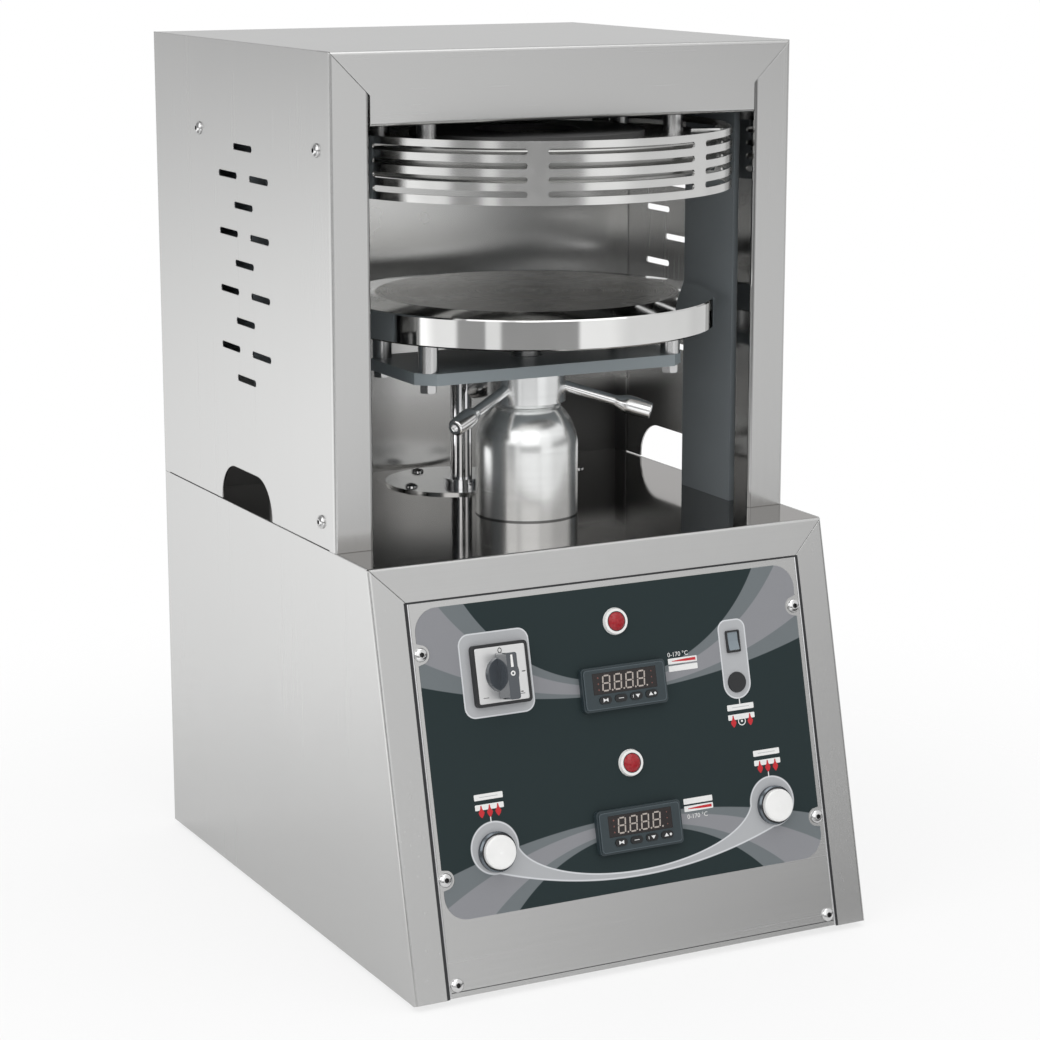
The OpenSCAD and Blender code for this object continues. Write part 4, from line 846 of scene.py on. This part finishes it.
        # Painted shade: flat black rings round the edges of the lamp and button bezels
        lamp_face = front_place("pilot_bezels")[2] + over_lamp
        add_flat("pilot_painted_rings", [ring(x, s, *lamp_shade_ring, lamp_face, 48) for x, s in PILOTS], black)
        button_face = front_place("button_bezels")[2] + over_button
        buttons = [front_place(name)[:2] for name in ("left_button", "right_button")]
        add_flat("button_painted_rings", [ring(x, s, *button_shade_ring, button_face) for x, s in buttons], black)

    def mark_switch(self, dark):
        """A plain zero over the lever switch and ticks round it, by their places from the plate's middle."""
        x, s, face = front_place("switch_plate")
        coat, zero_up, zero, zero_tall = 0.05, 19.2, (1.25, 1.85), 1.25
        ticks = ((19.6, -0.4, 3.2, 0.8), (-16.5, 17.6, 5.0, 0.5), (16.5, 17.6, 5.0, 0.5),
                 (16.5, 15.8, 2.2, 0.9))
        marks = [ring(x, s - zero_up, *zero, face + coat, tall=zero_tall)]
        marks += [bar(x + right, s + down, wide, wide, tall, face + coat)
                  for right, down, wide, tall in ticks]
        add_flat("switch_plate_marks", marks, dark)


class PRESS_OT_controllers(bpy.types.Operator):
    """Draw the controllers' unlit figures and print their keys"""

    bl_idname = "press.controllers"
    bl_label = "Controller figures and keys"

    def execute(self, context):
        unlit = ink("Unlit figure segments", (0.46, 0.41, 0.37))
        lamp = ink("Unlit lamp dots", (0.16, 0.06, 0.05))
        # The bezel's lighter line is a painted highlight on its rounded edge
        white, line = ink("Key symbols", (0.80, 0.80, 0.80)), ink("Bezel edge painted highlight", (0.085, 0.11, 0.125))
        line_coat, dot_coat, figure_coat, key_coat = 0.04, 0.06, 0.10, 0.03
        highlight_wide, highlight_tall, highlight_corner, highlight_line = 76.0, 33.0, 3.0, 0.5
        window_up, first_left, apart = 4.55, 17.6, 11.0
        dot_columns, dot_rows = ((-25.0, 0.75), (25.5, 0.6)), (-5.0, 0.0, 5.0)
        for row in ("upper", "lower"):
            x, s, face = front_place(f"{row}_controller")
            window = s - window_up
            figures = []
            for k in range(4):
                figures += self.figure(x - first_left + apart * k, window, face + figure_coat)
            add_flat(f"{row}_figures", figures, unlit)
            dots = [ring(x + right, window + down, 0.0, radius, face + dot_coat, 24)
                    for right, radius in dot_columns for down in dot_rows]
            add_flat(f"{row}_lamp_dots", dots, lamp)
            for k in (1, 2, 3, 4):
                key = f"{row}_key_{k}"
                key_x, key_s, key_face = front_place(key)
                symbol = self.symbol(k, key_x, key_s, key_face + key_coat)
                add_flat(f"{key}_symbol", symbol, white, f"{key}_body")
            # Painted highlight: a light line round each controller's bezel, where its rounded edge catches
            # the light
            edge_highlight = outline(x, s, highlight_wide, highlight_tall, highlight_corner, highlight_line, face + line_coat)
            add_flat(f"{row}_bezel_highlight", [edge_highlight], line)
        return {"FINISHED"}

    def figure(self, x, s, h):
        """Seven bars of a figure and its point, leaning a little to the right."""
        wide, tall, stroke, lean, gap, point_right, point = 6.4, 12.4, 1.25, 0.09, 0.35, 2.1, 0.75
        half, level, turn = tall / 2, wide - 2 * gap - stroke, math.degrees(math.atan(lean))
        parts = [bar(x - level / 2 - lean * down, s + down, stroke, stroke, level, h, RIGHTWARDS)
                 for down in (-half, 0.0, half)]
        parts += [bar(x + side - lean * top, s + top + gap, stroke, stroke, half - 2 * gap, h, turn)
                  for side in (-wide / 2, wide / 2) for top in (-half, 0.0)]
        return parts + [ring(x + wide / 2 + point_right, s + half, 0.0, point, h, 20)]

    def symbol(self, key, x, s, h):
        """A plain symbol on a key: two facing wedges, a dash, a bar by a wedge down, a wedge up by a dot."""
        return {
            1: [bar(x - 2.3, s, 3.4, 0.6, 2.4, h, RIGHTWARDS), bar(x + 2.3, s, 3.4, 0.6, 2.4, h, LEFTWARDS)],
            2: [bar(x - 2.4, s, 0.5, 0.5, 4.8, h, RIGHTWARDS)],
            3: [bar(x + 1.2, s - 1.3, 4.2, 0.0, 2.9, h), bar(x - 3.2, s - 1.2, 0.5, 0.5, 2.4, h)],
            4: [bar(x - 0.9, s - 1.6, 0.0, 4.2, 2.9, h), ring(x + 3.1, s, 0.0, 1.1, h, 24)],
        }[key]


class PRESS_OT_lever(bpy.types.Operator):
    """Mark the lever's pointer line and cap ring"""

    bl_idname = "press.lever"
    bl_label = "Lever pointer"

    def execute(self, context):
        x, s, _ = front_place("switch_plate")
        coat, pointer_up, pointer, cap_up, cap = 0.04, 15.6, (1.8, 2.4, 10.0), 0.5, (1.0, 2.1)
        top = front_place("switch_lever")[2] + coat
        marks = [bar(x, s - pointer_up, *pointer, top), ring(x, s - cap_up, *cap, top, 32)]
        white = ink("Pointer white", (0.84, 0.84, 0.83))
        add_flat("lever_pointer", marks, white, "lever_body")
        return {"FINISHED"}


class PRESS_OT_handles(bpy.types.Operator):
    """Turn the hub's three handles with their swelled grips"""

    bl_idname = "press.handles"
    bl_label = "Hub handles"

    def execute(self, context):
        # Profile out from the hub's wall: a rod, a swell drawn with a half cosine, a round tip and its bore
        rod, grip, root, start, length = 4.75, 8.2, -7.9, 43.0, 76.9
        swelled, taper, tip_radius = 0.42, 1.0, 2.0
        bore, chamfer, chamfer_deep, bore_deep = 2.9, 0.4, 0.5, 4.0
        share = np.linspace(0.0, 1.0, 25)
        swell = rod + (grip - rod) * (0.5 - 0.5 * np.cos(np.pi * np.clip(share / swelled, 0.0, 1.0)))
        swell = swell - taper * np.clip((share - swelled) / (1.0 - swelled), 0.0, 1.0) ** 2
        turn = np.linspace(0.0, 0.5 * np.pi, 9)[1:]
        shoulder, floor = length - tip_radius, length - bore_deep
        reach = np.concatenate([[0.0, rod], swell, swell[-1] - tip_radius + tip_radius * np.cos(turn),
                                [bore + chamfer, bore, bore, 0.0]])
        along = np.concatenate([[root, root], start + (shoulder - start) * share,
                                shoulder + tip_radius * np.sin(turn),
                                [length, length - chamfer_deep, floor, floor]])
        hub_wall, middle_z, slope = highest_corner("thickness_hub")[0], 456.54, math.radians(16.0)
        grids = []
        for way in np.radians((208.6, 328.6, 448.6)):
            out = np.array([math.cos(way), math.sin(way), 0.0])
            axis = math.cos(slope) * out + np.array([0.0, 0.0, -math.sin(slope)])
            origin = np.array([0.0, PRESS_Y, middle_z]) + hub_wall * out
            grids.append((about_axis(reach, along, origin, axis, 48), True))
        polished = plated("Polished handles", (0.82, 0.82, 0.82), 0.20)
        add_piece(make_mesh("turned_handles", grids), polished, "hub_body", ("hub_handles",))
        return {"FINISHED"}


class PRESS_OT_screws(bpy.types.Operator):
    """Turn the domed housing screws, with their hexagon sockets darkened by painted shade"""

    bl_idname = "press.screws"
    bl_label = "Housing screws"

    def execute(self, context):
        # A quarter of an ellipse up from the rim to the mouth, then a six-sided socket, whose reach is
        # flat / cos(angle from the middle of the nearest flat)
        wide, tall, rim, mouth, flat, deep, turns = 5.8, 3.4, 0.5, 2.55, 1.95, 1.9, 48
        angle = np.linspace(0.0, 2.0 * np.pi, turns, endpoint=False)
        six = flat / np.cos((angle + np.pi / 6.0) % (np.pi / 3.0) - np.pi / 6.0)
        rise = np.linspace(0.0, math.acos(mouth / wide), 13)
        dome = np.concatenate([[0.0, wide], wide * np.cos(rise)])[:, None] * np.ones(turns)
        top = rim + (tall - rim) * math.sin(rise[-1])
        floor = top - deep
        reach = np.concatenate([dome, [six, six, 0.0 * six]])
        along = np.concatenate([[0.0, 0.0], rim + (tall - rim) * np.sin(rise), [top, floor, floor]])
        seats = self.seats()
        heads = [(about_axis(reach, along, seat, axis, turns), True) for seat, axis in seats]
        add_piece(make_mesh("dome_screws", heads), finish_of("housing_screws"), "cabinet",
                  ("housing_screws",))
        # Painted shade: a dark lining, just clear of the socket's floor and walls, whose faces look into the
        # socket
        clear, within, below = 0.04, 0.97, 0.25
        dark = moulded("Screw socket painted shade", (0.012, 0.012, 0.013), 0.5, grain=1500.0, depth=0.2)
        shade_lining = np.stack([0.0 * six, within * six, within * six])
        depth = np.array([floor + clear, floor + clear, top - below])
        sockets = [(about_axis(shade_lining, depth, seat, axis, turns), True) for seat, axis in seats]
        shade_cups = make_mesh("screw_socket_shade", sockets)
        shade_cups.flip_normals()
        add_piece(shade_cups, dark, "cabinet")
        return {"FINISHED"}

    def seats(self):
        """Places and ways out of the screws on the panel, the hood's sides, the deck and its round cover."""
        up, hood_side = np.array([0.0, 0.0, 1.0]), highest_corner("hood_right_side")[0]
        hood_rows = ((-96.0, 367.0), (-96.0, 671.0), (162.0, 671.0))
        cover_y, cover_top = middle_of("deck_cover")[1], highest_corner("deck_cover")[2]
        deck_side, cover_reach, cover_turns = 131.0, 49.0, np.radians((105.0, 195.0, 285.0, 375.0))
        seats = [(on_front(x, s, 0.0) / MM, OUT) for x in (-SCREW_SIDE, SCREW_SIDE) for s in SCREW_ROWS]
        seats += [(np.array([side * hood_side, y, z]), np.array([side, 0.0, 0.0]))
                  for side in (-1.0, 1.0) for y, z in hood_rows]
        seats += [(np.array([x, cover_y, DECK_TOP]), up) for x in (-deck_side, deck_side)]
        for way in cover_turns:
            x, y = cover_reach * math.cos(way), cover_y + cover_reach * math.sin(way)
            seats.append((np.array([x, y, cover_top]), up))
        return seats


class PRESS_OT_stage(bpy.types.Operator):
    """Floor, lamps, backdrop light and camera"""

    bl_idname = "press.stage"
    bl_label = "Stage"

    def execute(self, context):
        scene, stage = context.scene, context.scene.press_stage
        scene.view_settings.view_transform = "Standard"
        self.lay_floor(tuple(stage.floor))
        self.light_world(scene)
        self.hang_lamp("Key lamp", (-2.6, -1.0, 1.9), (0.0, -0.05, 0.40), 2.2, stage.key_power)
        self.hang_lamp("Top lamp", (0.2, -0.4, 3.0), (0.0, 0.0, 0.4), 2.2, stage.top_power)
        self.hang_lamp("Front lamp", (-0.4, -2.4, 3.0), (0.0, -0.1, 0.4), 1.6, stage.front_power)
        yaw, pitch = math.radians(CAMERA_TURN), math.radians(CAMERA_DROP)
        look = Vector((math.sin(yaw) * math.cos(pitch), math.cos(yaw) * math.cos(pitch), -math.sin(pitch)))
        camera = bpy.data.objects.new("Camera", bpy.data.cameras.new("Camera"))
        camera.data.lens = stage.lens
        camera.data.sensor_width = SENSOR_WIDTH
        camera.location = CAMERA_PLACE
        camera.rotation_euler = look.to_track_quat("-Z", "Y").to_euler()
        scene.collection.objects.link(camera)
        scene.camera = camera
        return {"FINISHED"}

    def lay_floor(self, colour):
        """A disc round the press, rings of points out from the middle, that fades into the white round it."""
        reach, below = np.array([0.0, 300.0, 600.0, 900.0, 1300.0, 1800.0]), -0.2
        disc = about_axis(reach, np.zeros(len(reach)), (0, 0, below), (0, 0, 1))
        mesh = face_out(make_mesh("floor", [(disc, True)]), (0, 0, 1))
        material, tree, shader = new_finish("Pale floor")
        where = place(tree, (1.0, 1.0, 0.0))
        far = where.length()
        clouds = noise(tree, np.array([3.0, 3.0, 0.0]))
        dress(shader, clouds.between(0.99, 1.01).tint(colour), 0.85, Specular_IOR_Level=0.1)
        seen, gloss = self.rays(tree)
        white, dark = (tree.add("ShaderNodeEmission", {}, {"Color": (1.0, 1.0, 1.0, 1.0), "Strength": power})
                       for power in (1.0, 0.12))
        lit = (seen * 0.76 + gloss * 0.20).mix_shader(Value(tree.tree, shader.outputs[0]), white)
        # A dark card on the floor, in front on the right, that only reflections show
        ahead = 1.0 - where.part("Y").step(-0.42, -0.30)
        card = gloss * where.part("X").step(-0.15, 0.35) * ahead * (1.0 - far.step(1.3, 1.7))
        fade = far.step(0.36, 1.05) * (1.0 - card)
        whole = fade.mix_shader(card.mix_shader(lit, dark), tree.add("ShaderNodeBsdfTransparent"))
        set_socket(tree.tree.nodes["Material Output"], 0, whole)
        mesh.materials.append(material)
        floor = bpy.data.objects.new("floor", mesh)
        bpy.context.scene.collection.objects.link(floor)

    def rays(self, tree):
        """1 for a ray from the camera, also through clear pieces, and 1 for a ray thrown back by gloss."""
        camera, clear, gloss = (tree.add("ShaderNodeLightPath", output=f"Is {kind} Ray")
                                for kind in ("Camera", "Transmission", "Glossy"))
        return camera.highest(clear), gloss

    def light_world(self, scene):
        """White to the camera, a room of screens to gloss, and an even fill to the rest."""
        world = bpy.data.worlds.new("Studio")
        world.use_nodes = True
        world.node_tree.nodes.clear()
        scene.world = world
        tree = Value(world.node_tree)
        seen, gloss = self.rays(tree)
        way = tree.add("ShaderNodeTexCoord", output="Generated")
        x, y, z = (way.part(axis) for axis in "XYZ")
        turn = x * (x * x + y * y + 1e-6) ** -0.5
        front, back, fill = self.room_in_front(turn, z), self.room_behind(turn, z), 0.84
        room = back + (1.0 - y.step(-0.12, 0.12)) * (front - back)
        strength = seen.highest((1.0 - seen) * (gloss * room + (1.0 - gloss) * fill))
        sky = tree.add("ShaderNodeBackground", {}, {"Color": (1.0, 1.0, 1.0, 1.0), "Strength": strength})
        set_socket(world.node_tree.nodes.new("ShaderNodeOutputWorld"), 0, sky)

    def room_in_front(self, turn, z):
        """Brightness ahead of the press by height and by turn, which is -1 on the left and 1 on the right."""
        # From left to right a bright screen, a dark gap, a stripe, the camera's dim side and a wide screen:
        # the start and the end of each step between them, and its change of brightness
        steps = ((-0.95, -0.93, -0.62), (-0.80, -0.78, 0.55), (-0.70, -0.66, -0.53), (0.05, 0.10, 0.66),
                 (0.38, 0.64, -0.22))
        front = 0.92 + z.step(0.10, 0.45) * 0.14
        for start, end, change in steps:
            front = front + turn.step(start, end) * change
        # The dim side has a soft screen over it and the white table under it
        dim = turn.step(-0.72, -0.60) * (1.0 - turn.step(0.0, 0.10))
        front = front + dim * (z.step(-0.02, 0.22) * 1.1 + (1.0 - z.step(-0.19, -0.165)))
        front = front + (1.0 - dim) * (1.0 - z.step(-0.10, 0.0)) * 0.05
        # A dark line along the far edge of the table, deeper on the right
        low = z.step(-0.07, 0.01) * (1.0 - z.step(0.08, 0.20))
        return front - low * (0.16 + turn.step(0.42, 0.60) * 0.40)

    def room_behind(self, turn, z):
        """Brightness behind the press: even, and on the left darker but for a bright band low down."""
        band = z.step(-0.46, -0.18) * (1.0 - z.step(-0.17, 0.0))
        beside = 1.0 - turn.step(-0.52, -0.22)
        return 0.72 + beside * (band * 1.36 - 0.38)

    def hang_lamp(self, name, spot, aim, size, power):
        """A square lamp that looks at a point."""
        lamp = bpy.data.lights.new(name, "AREA")
        lamp.shape, lamp.size, lamp.size_y, lamp.energy = "RECTANGLE", size, size, power
        holder = bpy.data.objects.new(name, lamp)
        holder.location = spot
        holder.rotation_euler = (Vector(aim) - Vector(spot)).to_track_quat("-Z", "Y").to_euler()
        bpy.context.scene.collection.objects.link(holder)


class PRESS_PT_looks(bpy.types.Panel):
    """Lists the press's finishes, pieces and stage"""

    bl_idname = "PRESS_PT_looks"
    bl_label = "Dough press"
    bl_space_type = "VIEW_3D"
    bl_region_type = "UI"
    bl_category = "Dough press"

    def draw(self, context):
        for group in (context.scene.press_finish, context.scene.press_stage):
            for name in group.__annotations__:
                self.layout.prop(group, name)
        for step in STEPS:
            self.layout.operator(step.bl_idname)


STEPS = (PRESS_OT_finishes, PRESS_OT_film, PRESS_OT_marks, PRESS_OT_controllers, PRESS_OT_lever,
         PRESS_OT_handles, PRESS_OT_screws, PRESS_OT_stage)
CLASSES = (PressFinish, PressStage, *STEPS, PRESS_PT_looks)


def register():
    for each in CLASSES:
        bpy.utils.register_class(each)
    bpy.types.Scene.press_finish = bpy.props.PointerProperty(type=PressFinish)
    bpy.types.Scene.press_stage = bpy.props.PointerProperty(type=PressStage)


def unregister():
    del bpy.types.Scene.press_stage
    del bpy.types.Scene.press_finish
    for each in reversed(CLASSES):
        bpy.utils.unregister_class(each)


def main():
    register()
    bpy.ops.press.finishes()
    bpy.ops.press.film()
    bpy.ops.press.marks()
    bpy.ops.press.controllers()
    bpy.ops.press.lever()
    bpy.ops.press.handles()
    bpy.ops.press.screws()
    bpy.ops.press.stage()


if __name__ == "__main__":
    main()
